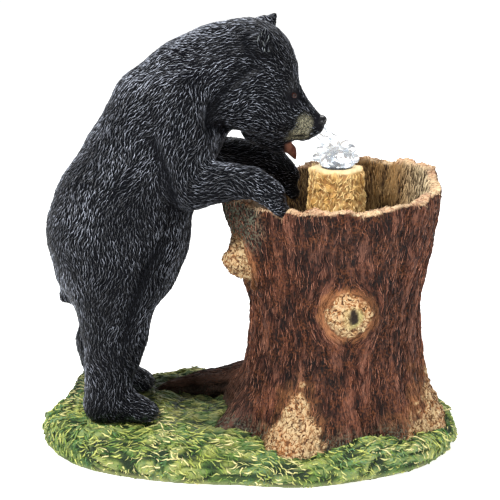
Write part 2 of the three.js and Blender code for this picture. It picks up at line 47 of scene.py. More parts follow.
cameraSettings = {"distance": 2.2, "tilt": 15.0, "aim": (0.0, 0.0, 0.240), "lens": 131.98}


def setCamera(settings):
    data = bpy.data.cameras.new("camera")
    data.sensor_width = 36.0
    data.lens = settings["lens"]
    camera = bpy.data.objects.new("camera", data)
    tilt = math.radians(settings["tilt"])
    back = Vector((0.0, -math.cos(tilt), math.sin(tilt)))
    camera.location = Vector(settings["aim"]) + back * settings["distance"]
    camera.rotation_mode = "QUATERNION"
    camera.rotation_quaternion = (-back).to_track_quat("-Z", "Y")
    scene.collection.objects.link(camera)
    scene.camera = camera


studioLights = [
    {"name": "keyLight", "place": (-1.2, -1.5, 2.2), "size": 0.8, "power": 105.0},
    {"name": "fillLight", "place": (1.7, -1.6, 1.3), "size": 1.2, "power": 34.0},
    {"name": "backLight", "place": (0.3, 1.8, 1.9), "size": 1.2, "power": 34.0},
]
skyStrength = 0.42


def setLights(lights):
    for light in lights:
        data = bpy.data.lights.new(light["name"], "AREA")
        data.size = light["size"]
        data.energy = light["power"]
        lamp = bpy.data.objects.new(light["name"], data)
        lamp.location = light["place"]
        lamp.rotation_mode = "QUATERNION"
        lamp.rotation_quaternion = (Vector((0, 0, 0.25)) - lamp.location).to_track_quat("-Z", "Y")
        scene.collection.objects.link(lamp)
    world = bpy.data.worlds.new("studio")
    world.use_nodes = True
    sky = world.node_tree.nodes["Background"]
    sky.inputs["Color"].default_value = (1.0, 1.0, 1.0, 1.0)
    sky.inputs["Strength"].default_value = skyStrength
    scene.world = world


# Nodes of shaders and of geometry


def feed(tree, socket, value):
    if isinstance(value, bpy.types.NodeSocket):
        tree.links.new(value, socket)
    else:
        socket.default_value = value


def addNode(tree, kind, options=None, values=None, **inputs):
    node = tree.nodes.new(kind)
    for option, choice in (options or {}).items():
        setattr(node, option, choice)
    for key, value in (values or {}).items():
        feed(tree, node.inputs[key], value)
    for key, value in inputs.items():
        feed(tree, node.inputs[key.replace("_", " ")], value)
    return node


def math2(tree, operation, a, b=0.0):
    return addNode(tree, "ShaderNodeMath", {"operation": operation}, {0: a, 1: b}).outputs[0]


def added(tree, a, b):
    return math2(tree, "ADD", a, b)


def product(tree, *factors):
    result = factors[0]
    for factor in factors[1:]:
        result = math2(tree, "MULTIPLY", result, factor)
    return result


def opaque(color):
    return (*color, 1.0) if isinstance(color, tuple) else color


def mixColor(tree, factor, a, b):
    options = {"data_type": "RGBA", "blend_type": "MIX", "clamp_factor": True}
    return addNode(tree, "ShaderNodeMix", options, {0: factor, 6: opaque(a), 7: opaque(b)}).outputs[2]


def coated(tree, color, coats):
    # coats of paint over a color, one after another, each where its mask lets it
    for mask, paint in coats:
        color = mixColor(tree, mask, color, paint)
    return color


def rampNode(tree, value, low, high):
    options = {"interpolation_type": "SMOOTHSTEP"}
    return addNode(tree, "ShaderNodeMapRange", options, Value=value, From_Min=low, From_Max=high).outputs[0]


def attribute(tree, name, output="Fac"):
    return addNode(tree, "ShaderNodeAttribute", {"attribute_name": name}).outputs[output]


def channels(tree, name):
    # the four masks that a color attribute holds
    node = addNode(tree, "ShaderNodeAttribute", {"attribute_name": name})
    parts = addNode(tree, "ShaderNodeSeparateColor", Color=node.outputs["Color"]).outputs
    return parts["Red"], parts["Green"], parts["Blue"], node.outputs["Alpha"]


def objectPlace(tree):
    return addNode(tree, "ShaderNodeTexCoord").outputs["Object"]


def newGroup(name, inputs, outputs):
    group = bpy.data.node_groups.new(name, "ShaderNodeTree")
    for label, kind, value in inputs:
        socket = group.interface.new_socket(label, in_out="INPUT", socket_type=kind)
        if value is not None:
            socket.default_value = value
    for label, kind in outputs:
        group.interface.new_socket(label, in_out="OUTPUT", socket_type=kind)
    return group, group.nodes.new("NodeGroupInput"), group.nodes.new("NodeGroupOutput")


def placeGroup(tree, group, **inputs):
    node = tree.nodes.new("ShaderNodeGroup")
    node.node_tree = group
    for key, value in inputs.items():
        feed(tree, node.inputs[key], opaque(value))
    return node.outputs


def fibreGroup():
    # carved fibres: fine streaks in the direction in which the given coordinates are squeezed
    group, start, end = newGroup(
        "carvedFibres",
        [
            ("Vector", "NodeSocketVector", None),
            ("Scale", "NodeSocketFloat", 8.0),
            ("Wander", "NodeSocketFloat", 0.3),
        ],
        [("Height", "NodeSocketFloat")],
    )
    given = start.outputs

    def move(operation, values):
        return addNode(group, "ShaderNodeVectorMath", {"operation": operation}, values).outputs[0]

    drift = addNode(group, "ShaderNodeTexNoise", Vector=given["Vector"], Scale=1.1, Detail=2.0)
    centred = move("SUBTRACT", {0: drift.outputs["Color"], 1: (0.5, 0.5, 0.5)})
    place = move("ADD", {0: given["Vector"], 1: move("SCALE", {0: centred, 3: given["Wander"]})})
    fine = addNode(
        group, "ShaderNodeTexNoise", Vector=place, Scale=given["Scale"], Detail=4.0, Roughness=0.6,
    )
    wider = product(group, given["Scale"], 0.38)
    coarse = addNode(group, "ShaderNodeTexNoise", Vector=place, Scale=wider, Detail=2.0)
    fold = math2(group, "ABSOLUTE", math2(group, "SUBTRACT", coarse.outputs[0], 0.5))
    crack = rampNode(group, fold, 0.0, 0.07)
    height = added(group, product(group, fine.outputs[0], 0.55), product(group, crack, 0.45))
    group.links.new(height, end.inputs["Height"])
    return group


def mottleGroup():
    # soft patches of paint, one large and one small
    group, start, end = newGroup(
        "paintMottle",
        [
            ("Vector", "NodeSocketVector", None),
            ("Scale", "NodeSocketFloat", 20.0),
            ("Contrast", "NodeSocketFloat", 0.5),
        ],
        [("Mask", "NodeSocketFloat"), ("Speck", "NodeSocketFloat")],
    )
    given = start.outputs
    large = addNode(group, "ShaderNodeTexNoise", Vector=given["Vector"], Scale=given["Scale"], Detail=3.0)
    finer = product(group, given["Scale"], 9.0)
    speck = addNode(group, "ShaderNodeTexNoise", Vector=given["Vector"], Scale=finer, Detail=2.0)
    half = product(group, math2(group, "SUBTRACT", 1.0, given["Contrast"]), 0.28)
    mask = rampNode(group, large.outputs[0], math2(group, "SUBTRACT", 0.5, half), added(group, 0.5, half))
    group.links.new(mask, end.inputs["Mask"])
    group.links.new(rampNode(group, speck.outputs[0], 0.44, 0.62), end.inputs["Speck"])
    return group


def brushGroup():
    # dry brushing: paint that catches only on the raised parts, where the patch mask lets it
    group, start, end = newGroup(
        "dryBrush",
        [
            ("Color", "NodeSocketColor", (0.1, 0.1, 0.1, 1.0)),
            ("Paint", "NodeSocketColor", (0.5, 0.5, 0.5, 1.0)),
            ("Height", "NodeSocketFloat", 0.5),
            ("Patch", "NodeSocketFloat", 1.0),
            ("From", "NodeSocketFloat", 0.5),
            ("To", "NodeSocketFloat", 0.8),
        ],
        [("Color", "NodeSocketColor")],
    )
    given = start.outputs
    raised = rampNode(group, given["Height"], given["From"], given["To"])
    color = mixColor(group, product(group, raised, given["Patch"]), given["Color"], given["Paint"])
    group.links.new(color, end.inputs["Color"])
    return group


fibres = fibreGroup()
mottle = mottleGroup()
dryBrush = brushGroup()


def newMaterial(name):
    material = bpy.data.materials.new(name)
    material.use_nodes = True
    tree = material.node_tree
    tree.nodes.clear()
    shader = tree.nodes.new("ShaderNodeBsdfPrincipled")
    surface = tree.nodes.new("ShaderNodeOutputMaterial")
    tree.links.new(shader.outputs["BSDF"], surface.inputs["Surface"])
    return material, tree, shader


def finishShader(tree, shader, color, rough, height=None, depth=1.0, strength=0.6, specular=0.5):
    feed(tree, shader.inputs["Base Color"], color)
    feed(tree, shader.inputs["Roughness"], rough)
    feed(tree, shader.inputs["Specular IOR Level"], specular)
    if height is not None:
        bump = addNode(tree, "ShaderNodeBump", Height=height, Strength=strength, Distance=depth * mm)
        tree.links.new(bump.outputs[0], shader.inputs["Normal"])


# Meshes: reading, storing, and copies of the castings


def coordsOf(mesh):
    flat = np.empty(3 * len(mesh.vertices), np.float32)
    mesh.vertices.foreach_get("co", flat)
    return flat.reshape(-1, 3).astype(float)


def normalsOf(mesh):
    flat = np.empty(3 * len(mesh.vertices), np.float32)
    mesh.vertex_normals.foreach_get("vector", flat)
    return flat.reshape(-1, 3).astype(float)


def setCoords(mesh, coords):
    mesh.vertices.foreach_set("co", coords.astype(np.float32).ravel())
    mesh.update()


def store(mesh, name, values, kind="FLOAT_VECTOR"):
    layer = mesh.attributes.new(name, kind, "POINT")
    field = {"FLOAT_VECTOR": "vector", "FLOAT_COLOR": "color", "FLOAT": "value"}[kind]
    layer.data.foreach_set(field, values.astype(np.float32).ravel())


def restore(mesh, name, values, field="value"):
    mesh.attributes[name].data.foreach_set(field, values.astype(np.float32).ravel())


def ease(values, low, high):
    t = np.clip((values - low) / (high - low), 0.0, 1.0)
    return t * t * (3 - 2 * t)


def fade(values, low, high):
    return 1 - ease(values, low, high)


def bell(distance, width):
    return np.exp(-((distance / width) ** 2))


def noiseAt(points, scale, seed=0.0):
    return np.array([noise.noise((x * scale + seed, y * scale, z * scale)) for x, y, z in points])


def ridgesAt(points, scale, seed=0.0):
    # sharp folds instead of soft hills
    return np.abs(noiseAt(points, scale, seed))


def distanceTo(points, place):
    return np.linalg.norm(points / mm - np.array(place), axis=1)


def unit(vectors):
    return vectors / (np.linalg.norm(vectors, axis=1)[:, None] + 1e-9)


def swung(way, across, turn):
    # a direction in the surface, turned towards the one across it
    return way * np.cos(turn)[:, None] + across * np.sin(turn)[:, None]


def addPiece(name, mesh, material, replaces=()):
    print(f"{name}: {sum(len(p.vertices) - 2 for p in mesh.polygons)} triangles")
    piece = bpy.data.objects.new(name, mesh)
    scene.collection.objects.link(piece)
    mesh.materials.clear()
    mesh.materials.append(material)
    for polygon in mesh.polygons:
        polygon.use_smooth = True
    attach(piece, "root")
    if replaces:
        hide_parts(*replaces)
    return piece


def evaluatedMesh(holder):
    bpy.context.view_layer.update()
    graph = bpy.context.evaluated_depsgraph_get()
    return bpy.data.meshes.new_from_object(holder.evaluated_get(graph))


def castingCopy(node, voxel, smoothing, rounded=False):
    # an even, finely divided copy of a casting, fit for carving
    mesh = cadNodes[node].data.copy()
    bm = bmesh.new()
    bm.from_mesh(mesh)
    bmesh.ops.remove_doubles(bm, verts=bm.verts, dist=0.002 * mm)
    bm.to_mesh(mesh)
    bm.free()
    holder = bpy.data.objects.new(node + "Copy", mesh)
    scene.collection.objects.link(holder)
    if rounded:
        # rounds off the facets, with the rounded surface kept on the casting's own corners
        rounding = holder.modifiers.new("round", "SUBSURF")
        rounding.levels = rounding.render_levels = 2
        wanted = coordsOf(mesh)
        for _ in range(2):
            reached = evaluatedMesh(holder)
            setCoords(mesh, coordsOf(mesh) + 0.8 * (wanted - coordsOf(reached)[: len(wanted)]))
            bpy.data.meshes.remove(reached)
    remesh = holder.modifiers.new("even", "REMESH")
    remesh.mode = "VOXEL"
    remesh.voxel_size = voxel * mm
    smooth = holder.modifiers.new("soft", "SMOOTH")
    smooth.factor = 0.5
    smooth.iterations = smoothing
    carved = evaluatedMesh(holder)
    bpy.data.objects.remove(holder)
    bpy.data.meshes.remove(mesh)
    for layer in list(carved.attributes):
        if not layer.is_required and not layer.is_internal:
            carved.attributes.remove(layer)
    return carved


def joinedMesh(name, parts):
    # closes one bmesh into a mesh with its faces pointing outwards
    bmesh.ops.recalc_face_normals(parts, faces=parts.faces)
    mesh = bpy.data.meshes.new(name)
    parts.to_mesh(mesh)
    parts.free()
    return mesh


# Tufts and blades: one small shape strewn over a carved surface along its flow


def strandShape(name, sides, tip, width, height, bend):
    # a strand one unit long with a ridge along its top, fuller and bent sideways in its middle
    bm = bmesh.new()
    lying = Matrix.Rotation(math.radians(90), 4, "Y") @ Matrix.Rotation(math.radians(90), 4, "Z")
    bmesh.ops.create_cone(
        bm, cap_ends=True, cap_tris=True, segments=sides, radius1=0.5, radius2=tip, depth=1.0, matrix=lying,
    )
    long = [e for e in bm.edges if abs(e.verts[0].co.x - e.verts[1].co.x) > 0.5]
    bmesh.ops.subdivide_edges(bm, edges=long, cuts=1, use_grid_fill=True)
    for vert in bm.verts:
        t = vert.co.x + 0.5
        swell = 0.45 + 1.9 * t * (1 - t)
        vert.co.y = vert.co.y * width * swell + bend * math.sin(math.pi * t)
        vert.co.z *= height * swell
    bmesh.ops.triangulate(bm, faces=bm.faces)
    mesh = joinedMesh(name, bm)
    spots = coordsOf(mesh)
    store(mesh, "tipShare", spots[:, 0] + 0.5, "FLOAT")
    ridge = np.clip(spots[:, 2] / (0.2 * height), 0, 1)
    store(mesh, "ridge", np.maximum(ridge, (spots[:, 0] > 0.49) * 0.7), "FLOAT")
    for polygon in mesh.polygons:
        polygon.use_smooth = True
    return mesh


def strewn(name, carrier, settings):
    collection = bpy.data.collections.new(name + "Shapes")
    scene.collection.children.link(collection)
    models = []
    for i, (width, height, bend) in enumerate(settings["strands"]):
        shape = strandShape(f"{name}{i}", settings["sides"], settings["tip"], width, height, bend)
        model = bpy.data.objects.new(f"{name}Shape{i}", shape)
        collection.objects.link(model)
        models.append(model)
    tree = bpy.data.node_groups.new(name, "GeometryNodeTree")
    tree.interface.new_socket("Geometry", in_out="INPUT", socket_type="NodeSocketGeometry")
    tree.interface.new_socket("Geometry", in_out="OUTPUT", socket_type="NodeSocketGeometry")
    start, end = tree.nodes.new("NodeGroupInput"), tree.nodes.new("NodeGroupOutput")

    def named(label, kind):
        return addNode(tree, "GeometryNodeInputNamedAttribute", {"data_type": kind}, Name=label).outputs[0]

    def chance(low, high, seed):
        draw = addNode(tree, "FunctionNodeRandomValue", {"data_type": "FLOAT"}, {2: low, 3: high, 8: seed})
        return draw.outputs[1]

    spread = addNode(
        tree, "GeometryNodeDistributePointsOnFaces", {"distribute_method": "POISSON"},
        Mesh=start.outputs[0], Distance_Min=settings["spacing"] * mm, Density_Max=settings["density"],
        Density_Factor=named("cover", "FLOAT"), Seed=settings["seed"],
    )
    upright = addNode(
        tree, "FunctionNodeAlignRotationToVector", {"axis": "Z"}, Vector=spread.outputs["Normal"],
    )
    along = addNode(
        tree, "FunctionNodeAlignRotationToVector", {"axis": "X", "pivot_axis": "Z"},
        Rotation=upright.outputs[0], Vector=named("flow", "FLOAT_VECTOR"),
    )
    turn = addNode(
        tree, "ShaderNodeCombineXYZ",
        X=chance(-0.5, 0.5, 1), Y=chance(*[-math.radians(a) for a in settings["tilt"]], 2),
        Z=chance(-settings["stray"], settings["stray"], 3),
    )
    euler = addNode(tree, "FunctionNodeEulerToRotation", Euler=turn.outputs[0])
    turned = addNode(
        tree, "FunctionNodeRotateRotation", {"rotation_space": "LOCAL"},
        Rotation=along.outputs[0], Rotate_By=euler.outputs[0],
    )
    length = product(tree, chance(*[v * mm for v in settings["length"]], 4), named("strandLength", "FLOAT"))
    size = addNode(tree, "ShaderNodeCombineXYZ", X=length, Y=chance(0.8, 1.2, 5), Z=chance(0.8, 1.2, 6))
    inMetres = {0: size.outputs[0], 1: (1.0, mm, mm)}
    thick = addNode(tree, "ShaderNodeVectorMath", {"operation": "MULTIPLY"}, inMetres)
    picked = addNode(
        tree, "GeometryNodeCollectionInfo",
        Collection=collection, Separate_Children=True, Reset_Children=True,
    )
    placed = addNode(
        tree, "GeometryNodeInstanceOnPoints", Points=spread.outputs[0], Instance=picked.outputs[0],
        Pick_Instance=True, Rotation=turned.outputs[0], Scale=thick.outputs[0],
    )
    shade = addNode(
        tree, "GeometryNodeStoreNamedAttribute", {"data_type": "FLOAT", "domain": "INSTANCE"},
        Geometry=placed.outputs[0], Name="shade", Value=chance(0.0, 1.0, 7),
    )
    real = addNode(tree, "GeometryNodeRealizeInstances", Geometry=shade.outputs[0])
    tree.links.new(real.outputs[0], end.inputs[0])

    holder = bpy.data.objects.new(name + "Holder", carrier)
    scene.collection.objects.link(holder)
    holder.modifiers.new("strew", "NODES").node_group = tree
    mesh = evaluatedMesh(holder)
    bpy.data.objects.remove(holder)
    for model in models:
        bpy.data.objects.remove(model)
    bpy.data.collections.remove(collection)
    bpy.data.node_groups.remove(tree)
    return mesh


# The bear

bearSettings = {"voxel": 3.0, "smoothing": 2, "waist": 330.0}
furSettings = {
    "spacing": 2.6, "density": 260000, "seed": 4, "length": (6.5, 11.0), "tilt": (7, 15), "stray": 0.32,
    "sides": 3, "tip": 0.0,
    "strands": [(2.2, 2.9, 0.9), (2.2, 2.9, -0.9)],  # width, height and bend of each shape
}
eyeSettings = {"x": 51.0, "z": 431.5, "radius": 5.0, "sunk": 2.6, "lid": 1.3}
# folds of the coat seen from the side: places along and up, depth and width, all in millimetres; each fold
# is carved and also darkened with painted shade
coatFolds = [
    {"line": [(4, 470), (-24, 450), (-42, 426), (-44, 405), (-30, 392)], "depth": 6.5, "width": 7.5},
    {"line": [(-112, 388), (-96, 350), (-86, 308)], "depth": 4.5, "width": 9.0},
    {"line": [(-104, 262), (-122, 226), (-136, 190), (-146, 150)], "depth": 4.5, "width": 9.0},
    {"line": [(40, 432), (56, 431), (64, 424)], "depth": 1.5, "width": 4.5},
]
# lines that the fur follows, from the nose back and down each limb: start and end in millimetres
furLines = [
    ((92, 0, 392), (45, 0, 415)), ((60, 0, 425), (48, 0, 470)), ((48, 0, 470), (8, 0, 512)),
    ((8, 0, 505), (-60, 0, 490)), ((-60, 0, 480), (-150, 0, 420)), ((-150, 0, 420), (-215, 0, 320)),
    ((-215, 0, 320), (-235, 0, 250)), ((-235, 0, 250), (-205, 0, 150)), ((-90, 0, 330), (-80, 0, 230)),
    ((-80, 0, 230), (-120, 0, 170)),
]
for side in (-1, 1):
    furLines += [
        ((60, side * 22, 405), (20, side * 35, 425)), ((20, side * 45, 440), (-40, side * 60, 430)),
        ((-40, side * 62, 440), (-84, side * 90, 400)), ((-84, side * 95, 400), (-85, side * 98, 340)),
        ((-80, side * 90, 335), (-20, side * 92, 330)), ((-20, side * 90, 340), (45, side * 86, 322)),
        ((-110, side * 82, 380), (-160, side * 85, 280)), ((-160, side * 90, 280), (-165, side * 90, 200)),
        ((-165, side * 85, 200), (-165, side * 78, 120)), ((-165, side * 76, 120), (-172, side * 75, 70)),
        ((-160, side * 52, 66), (-115, side * 52, 52)),
    ]


def alongLine(points, start, end):
    # the line's own way, and how far each point is from it in metres
    a, b = np.array(start) * mm, np.array(end) * mm
    line = b - a
    share = np.clip(((points - a) @ line) / (line @ line), 0, 1)
    return line / np.linalg.norm(line), np.linalg.norm(points - (a + share[:, None] * line), axis=1)


def nearLine(points, chain):
    # distance in millimetres to a chain of points
    gaps = [alongLine(points, start, end)[1] for start, end in zip(chain, chain[1:])]
    return np.min(gaps, axis=0) / mm


def furFlow(points, normals):
    total = np.zeros_like(points)
    for start, end in furLines:
        way, gap = alongLine(points, start, end)
        total += way / (gap[:, None] ** 3 + 1e-6)
    total = unit(total - normals * (total * normals).sum(1)[:, None])
    turn = 0.9 * noiseAt(points, 22.0, 3.0) + 0.5 * noiseAt(points, 60.0, 9.0)
    return swung(total, np.cross(normals, total), turn)


# lines on the face, in millimetres; the mouth is given for the left side and mirrored
snoutLine = [(60, 0, 398), (85, 0, 392)]
muzzleLine = [(46, 0, 402), (66, 0, 396)]
mouthLine = [(62, 16, 383), (44, 20, 379), (28, 26, 382), (16, 29, 388)]
tongueLine = [(40, 0, 372), (50, 0, 362), (55, 0, 350)]
noseLine = [(80, -5, 398), (80, 5, 398)]
faceLine = [(20, 0, 430), (60, 0, 410)]
nearEar = {"flap": (20.0, -52.0, 494.0), "foot": (10.0, -48.0, 497.0), "shadeRadius": 17.0}


def coatRelief(points, normals):
    # lumps of fur, the coat's folds, a smooth snout and the mouth; the paint needs two of them too, the
    # mouth and the folds, which also get painted shade
    mouth = np.minimum(*[nearLine(points, [(x, side * y, z) for x, y, z in mouthLine]) for side in (-1, 1)])
    outerSide = ease(np.abs(normals[:, 1]), 0.15, 0.5) * (normals[:, 1] * points[:, 1] > 0)
    lumps = 1.3 * noiseAt(points, 30.0) + 0.7 * noiseAt(points, 75.0, 5.0)
    sideView = points * np.array([1.0, 0.0, 1.0])
    shaded = np.zeros(len(points))
    for fold in coatFolds:
        line = [(along, 0, up) for along, up in fold["line"]]
        deep = bell(nearLine(sideView, line), fold["width"]) * outerSide
        lumps -= fold["depth"] * deep
        # where each fold lies, for its painted shade
        shaded = np.maximum(shaded, deep)
    lumps *= 1 - 0.85 * fade(nearLine(points, snoutLine), 16, 34)
    lumps -= 1.6 * fade(mouth, 0, 4.5)
    return lumps, mouth, shaded


def carvedBear(settings):
    mesh = castingCopy("bear_cub", settings["voxel"], settings["smoothing"], True)
    points, normals = coordsOf(mesh), normalsOf(mesh)
    x, y, z = (points / mm).T
    lumps, mouth, shaded = coatRelief(points, normals)
    points = points + normals * lumps[:, None] * mm
    setCoords(mesh, points)
    # paint: red is the tan muzzle, green is bare dark skin, blue is moss at the paws, alpha is the tongue
    ragged = 3.5 * noiseAt(points, 90.0, 4.0)
    muzzle = fade(nearLine(points, muzzleLine) + ragged, 24, 31) * ease(y * y, 60, 200)
    muzzle *= fade(x - 0.25 * (z - 392) + ragged, 66, 75) * ease(x + 0.5 * (z - 390) + ragged, 30, 40)
    muzzle *= fade(z - 0.9 * (66 - x) + ragged, 402, 413)
    tongue = fade(nearLine(points, tongueLine), 7, 10) * ease(x - 0.2 * (374 - z), 36, 39)
    tongue *= fade(z, 371, 375)
    socket = fade(np.hypot(x - eyeSettings["x"], z - eyeSettings["z"]), 6.0, 9.0)
    bare = np.maximum(np.maximum(fade(nearLine(points, noseLine), 10, 13), socket), fade(mouth, 1.5, 4))
    store(mesh, "paint", np.stack([muzzle, bare, 0.6 * fade(z, 44, 62), tongue], 1), "FLOAT_COLOR")
    # where the fur grows, how long, and how much light paint it holds; that amount also carries painted
    # light and painted shade
    face = fade(nearLine(points, faceLine), 40, 85)
    paws = np.maximum(ease(x, -4, 22) * (z < 350), fade(z, 52, 80))
    cover = np.clip(1 - 1.4 * bare - 1.5 * tongue - 0.2 * muzzle, 0, 1) * ease(z, 38, 44)
    # painted light: more dry brushing where the coat faces up and to the left, towards the key light, and
    # higher up
    lit = 0.70 + 0.17 * ease(z, 290, 390) + 0.45 * (normals @ np.array([-0.5, -0.45, 0.7]))
    # painted light on the coat round the near ear's flap
    lit += 0.5 * fade(distanceTo(points, nearEar["flap"]), 8, 15)
    # painted shade in a ring behind the near ear's foot, and in the folds, taken off the dry brushing
    shadeBehindEar = bell(distanceTo(points, nearEar["foot"]) - nearEar["shadeRadius"], 5.5)
    lit *= (1 - 0.9 * shaded) * (1 - 0.95 * shadeBehindEar)
    store(mesh, "lit", np.clip(lit, 0.04, 1.6), "FLOAT")
    store(mesh, "strandLength", np.clip(1 - 0.38 * face - 0.2 * muzzle - 0.4 * paws, 0.3, 1), "FLOAT")
    store(mesh, "cover", cover, "FLOAT")
    store(mesh, "flow", furFlow(points, normalsOf(mesh)))
    return mesh


# where two colors stand together, patches of the second lie over the first
furPaints = {
    "skin": ((0.0016, 0.0018, 0.0024), (0.005, 0.0055, 0.0075)),
    "strand": ((0.0024, 0.0026, 0.0036), (0.0150, 0.0160, 0.0205)),
    "brushed": (0.52, 0.56, 0.66),
    "greyAndLitEar": (0.20, 0.22, 0.22),
    "tan": ((0.050, 0.048, 0.036), (0.32, 0.30, 0.20)),
    "tanShadow": (0.018, 0.017, 0.012),
    "tanTip": (0.50, 0.46, 0.30),
    "bare": (0.006, 0.006, 0.008),
    "tongue": ((0.070, 0.022, 0.015), (0.19, 0.080, 0.052)),
    "moss": (0.05, 0.09, 0.04),
}


def furMaterial(name, strands):
    material, tree, shader = newMaterial(name)
    place = objectPlace(tree)
    muzzle, bare, moss, tongue = channels(tree, "paint")
    patch = placeGroup(tree, mottle, Vector=place, Scale=15.0, Contrast=0.35)
    fine = placeGroup(tree, mottle, Vector=place, Scale=75.0, Contrast=0.6)
    tan = mixColor(tree, fine["Speck"], *furPaints["tan"])
    if strands:
        tip, shade, lit, top = (attribute(tree, label) for label in ("tipShare", "shade", "lit", "ridge"))
        raised = product(tree, rampNode(tree, top, 0.3, 0.9), rampNode(tree, tip, 0.08, 0.4))
        reach = added(tree, 0.28, product(tree, patch["Mask"], 0.95))
        reach = product(tree, reach, lit, added(tree, 0.07, rampNode(tree, shade, 0.25, 1.15)))
        brushed = placeGroup(
            tree, dryBrush, Color=mixColor(tree, shade, *furPaints["strand"]), Paint=furPaints["brushed"],
            Height=raised, Patch=reach, From=0.1, To=0.95,
        )
        # the near ear's hollow is painted grey and brighter, as painted light
        color = mixColor(tree, rampNode(tree, lit, 1.6, 2.6), brushed["Color"], furPaints["greyAndLitEar"])
        specular = product(tree, raised, math2(tree, "MINIMUM", lit, 1.0), 0.75)
        tan = mixColor(tree, product(tree, raised, 0.85), furPaints["tanShadow"], tan)
        tipped = product(tree, raised, rampNode(tree, shade, 0.7, 1.0))
        tan = mixColor(tree, tipped, tan, furPaints["tanTip"])
    else:
        specular = 0.03
        color = mixColor(tree, fine["Speck"], *furPaints["skin"])
    color = coated(tree, color, [
        (muzzle, tan),
        (bare, furPaints["bare"]),
        (tongue, mixColor(tree, fine["Mask"], *furPaints["tongue"])),
        (product(tree, moss, patch["Speck"], 0.45), furPaints["moss"]),
    ])
    rough = math2(tree, "SUBTRACT", 0.42, product(tree, fine["Mask"], 0.14))
    finishShader(tree, shader, color, rough, fine["Speck"], 0.5, 0.4, specular)
    return material


glossPaints = {
    "eye": ((0.005, 0.003, 0.003), (0.045, 0.010, 0.005)),
    "skin": ((0.0025, 0.0025, 0.003), (0.007, 0.007, 0.008)),
    "horn": ((0.015, 0.014, 0.013), (0.06, 0.055, 0.05)),
    "plastic": ((0.012, 0.013, 0.018), (0.03, 0.034, 0.045)),
}


def glossMaterial(name, colors, roughness, specular, coat=0.0):
    material, tree, shader = newMaterial(name)
    patch = placeGroup(tree, mottle, Vector=objectPlace(tree), Scale=220.0, Contrast=0.4)
    color = mixColor(tree, patch["Mask"], *colors)
    rough = product(tree, roughness, added(tree, 0.8, product(tree, patch["Speck"], 0.5)))
    finishShader(tree, shader, color, rough, patch["Speck"], 0.15, 0.3, specular)
    shader.inputs["Coat Weight"].default_value = coat
    shader.inputs["Coat Roughness"].default_value = 0.05
    return material


noseSettings = {
    "centre": (80.0, 0.0, 396.5), "size": (10.5, 12.0, 8.2),
    "nostril": (89.0, 5.5, 396.0), "grooveFoot": 389.0,
}


def eyePair(surface, settings):
    bm = bmesh.new()
    centres = []
    for side in (-1, 1):
        start = Vector((settings["x"], side * 120, settings["z"])) * mm
        hit, normal, _, _ = surface.ray_cast(start, Vector((0, -side, 0)))
        centre = hit - normal * settings["sunk"] * mm
        bmesh.ops.create_uvsphere(
            bm, u_segments=20, v_segments=12, radius=settings["radius"] * mm,
            matrix=Matrix.Translation(centre),
        )
        centres.append((hit, normal))
    return joinedMesh("eyes", bm), centres


def eyelidPair(centres, settings):
    # a soft roll of skin round each eye
    bm = bmesh.new()
    upright = Matrix.Rotation(math.radians(90), 4, "X")
    beside = Matrix.Translation((settings["radius"] * 1.02 * mm, 0, 0))
    for hit, normal in centres:
        turn = normal.to_track_quat("Z", "Y").to_matrix().to_4x4()
        made = bmesh.ops.create_circle(bm, segments=8, radius=settings["lid"] * mm, matrix=beside @ upright)
        edges = list({e for v in made["verts"] for e in v.link_edges})
        bmesh.ops.spin(
            bm, geom=made["verts"] + edges, cent=(0, 0, 0), axis=(0, 0, 1), dvec=(0, 0, 0),
            angle=math.tau, steps=20, use_merge=True,
        )
        for vert in [v for v in bm.verts if not v.tag]:
            vert.co.y *= 0.8  # an eye is wider than it is high
            vert.co = Matrix.Translation(hit - normal * 1.1 * mm) @ turn @ vert.co
            vert.tag = True
    bmesh.ops.remove_doubles(bm, verts=bm.verts, dist=0.01 * mm)
    return joinedMesh("eyelids", bm)


def nosePad(settings):
    bm = bmesh.new()
    bmesh.ops.create_icosphere(bm, subdivisions=4, radius=1.0)
    centre = Vector(settings["centre"])
    long, wide, high = settings["size"]
    nx, ny, nz = settings["nostril"]
    for vert in bm.verts:
        # a blunt ball, narrower and set back below
        blunt = Vector([math.copysign(abs(c) ** 0.94, c) for c in vert.co])
        narrow = 1 - 0.3 * max(-blunt.z, 0)
        spot = centre + Vector((blunt.x * long + 2.2 * blunt.z, blunt.y * wide * narrow, blunt.z * high))
        for side in (-1, 1):
            spot.x -= 3.4 * bell((spot - Vector((nx, side * ny, nz))).length, 2.9)
        groove = bell(spot.y, 1.1) * max(0, 1 - (spot.z - settings["grooveFoot"]) / 10)
        spot.x -= 0.9 * min(groove, 1.0)
        spot += 0.35 * noise.noise(spot * 0.9) * spot.normalized()
        vert.co = spot * mm
    return joinedMesh("nosePad", bm)


# the ears: middle, the way up the flap, and half its width and height; the hollow faces ahead and out
earSettings = [
    {
        "centre": (17, -58, 501), "up": (0.25, -0.1, 0.96),
        "facing": (0.72, -0.68, 0.1), "size": (11.0, 13.5),
    },
    {
        "centre": (23, 44, 505), "up": (0.55, 0, 0.83),
        "facing": (0.72, 0.68, -0.3), "size": (11.5, 15.5),
    },
]


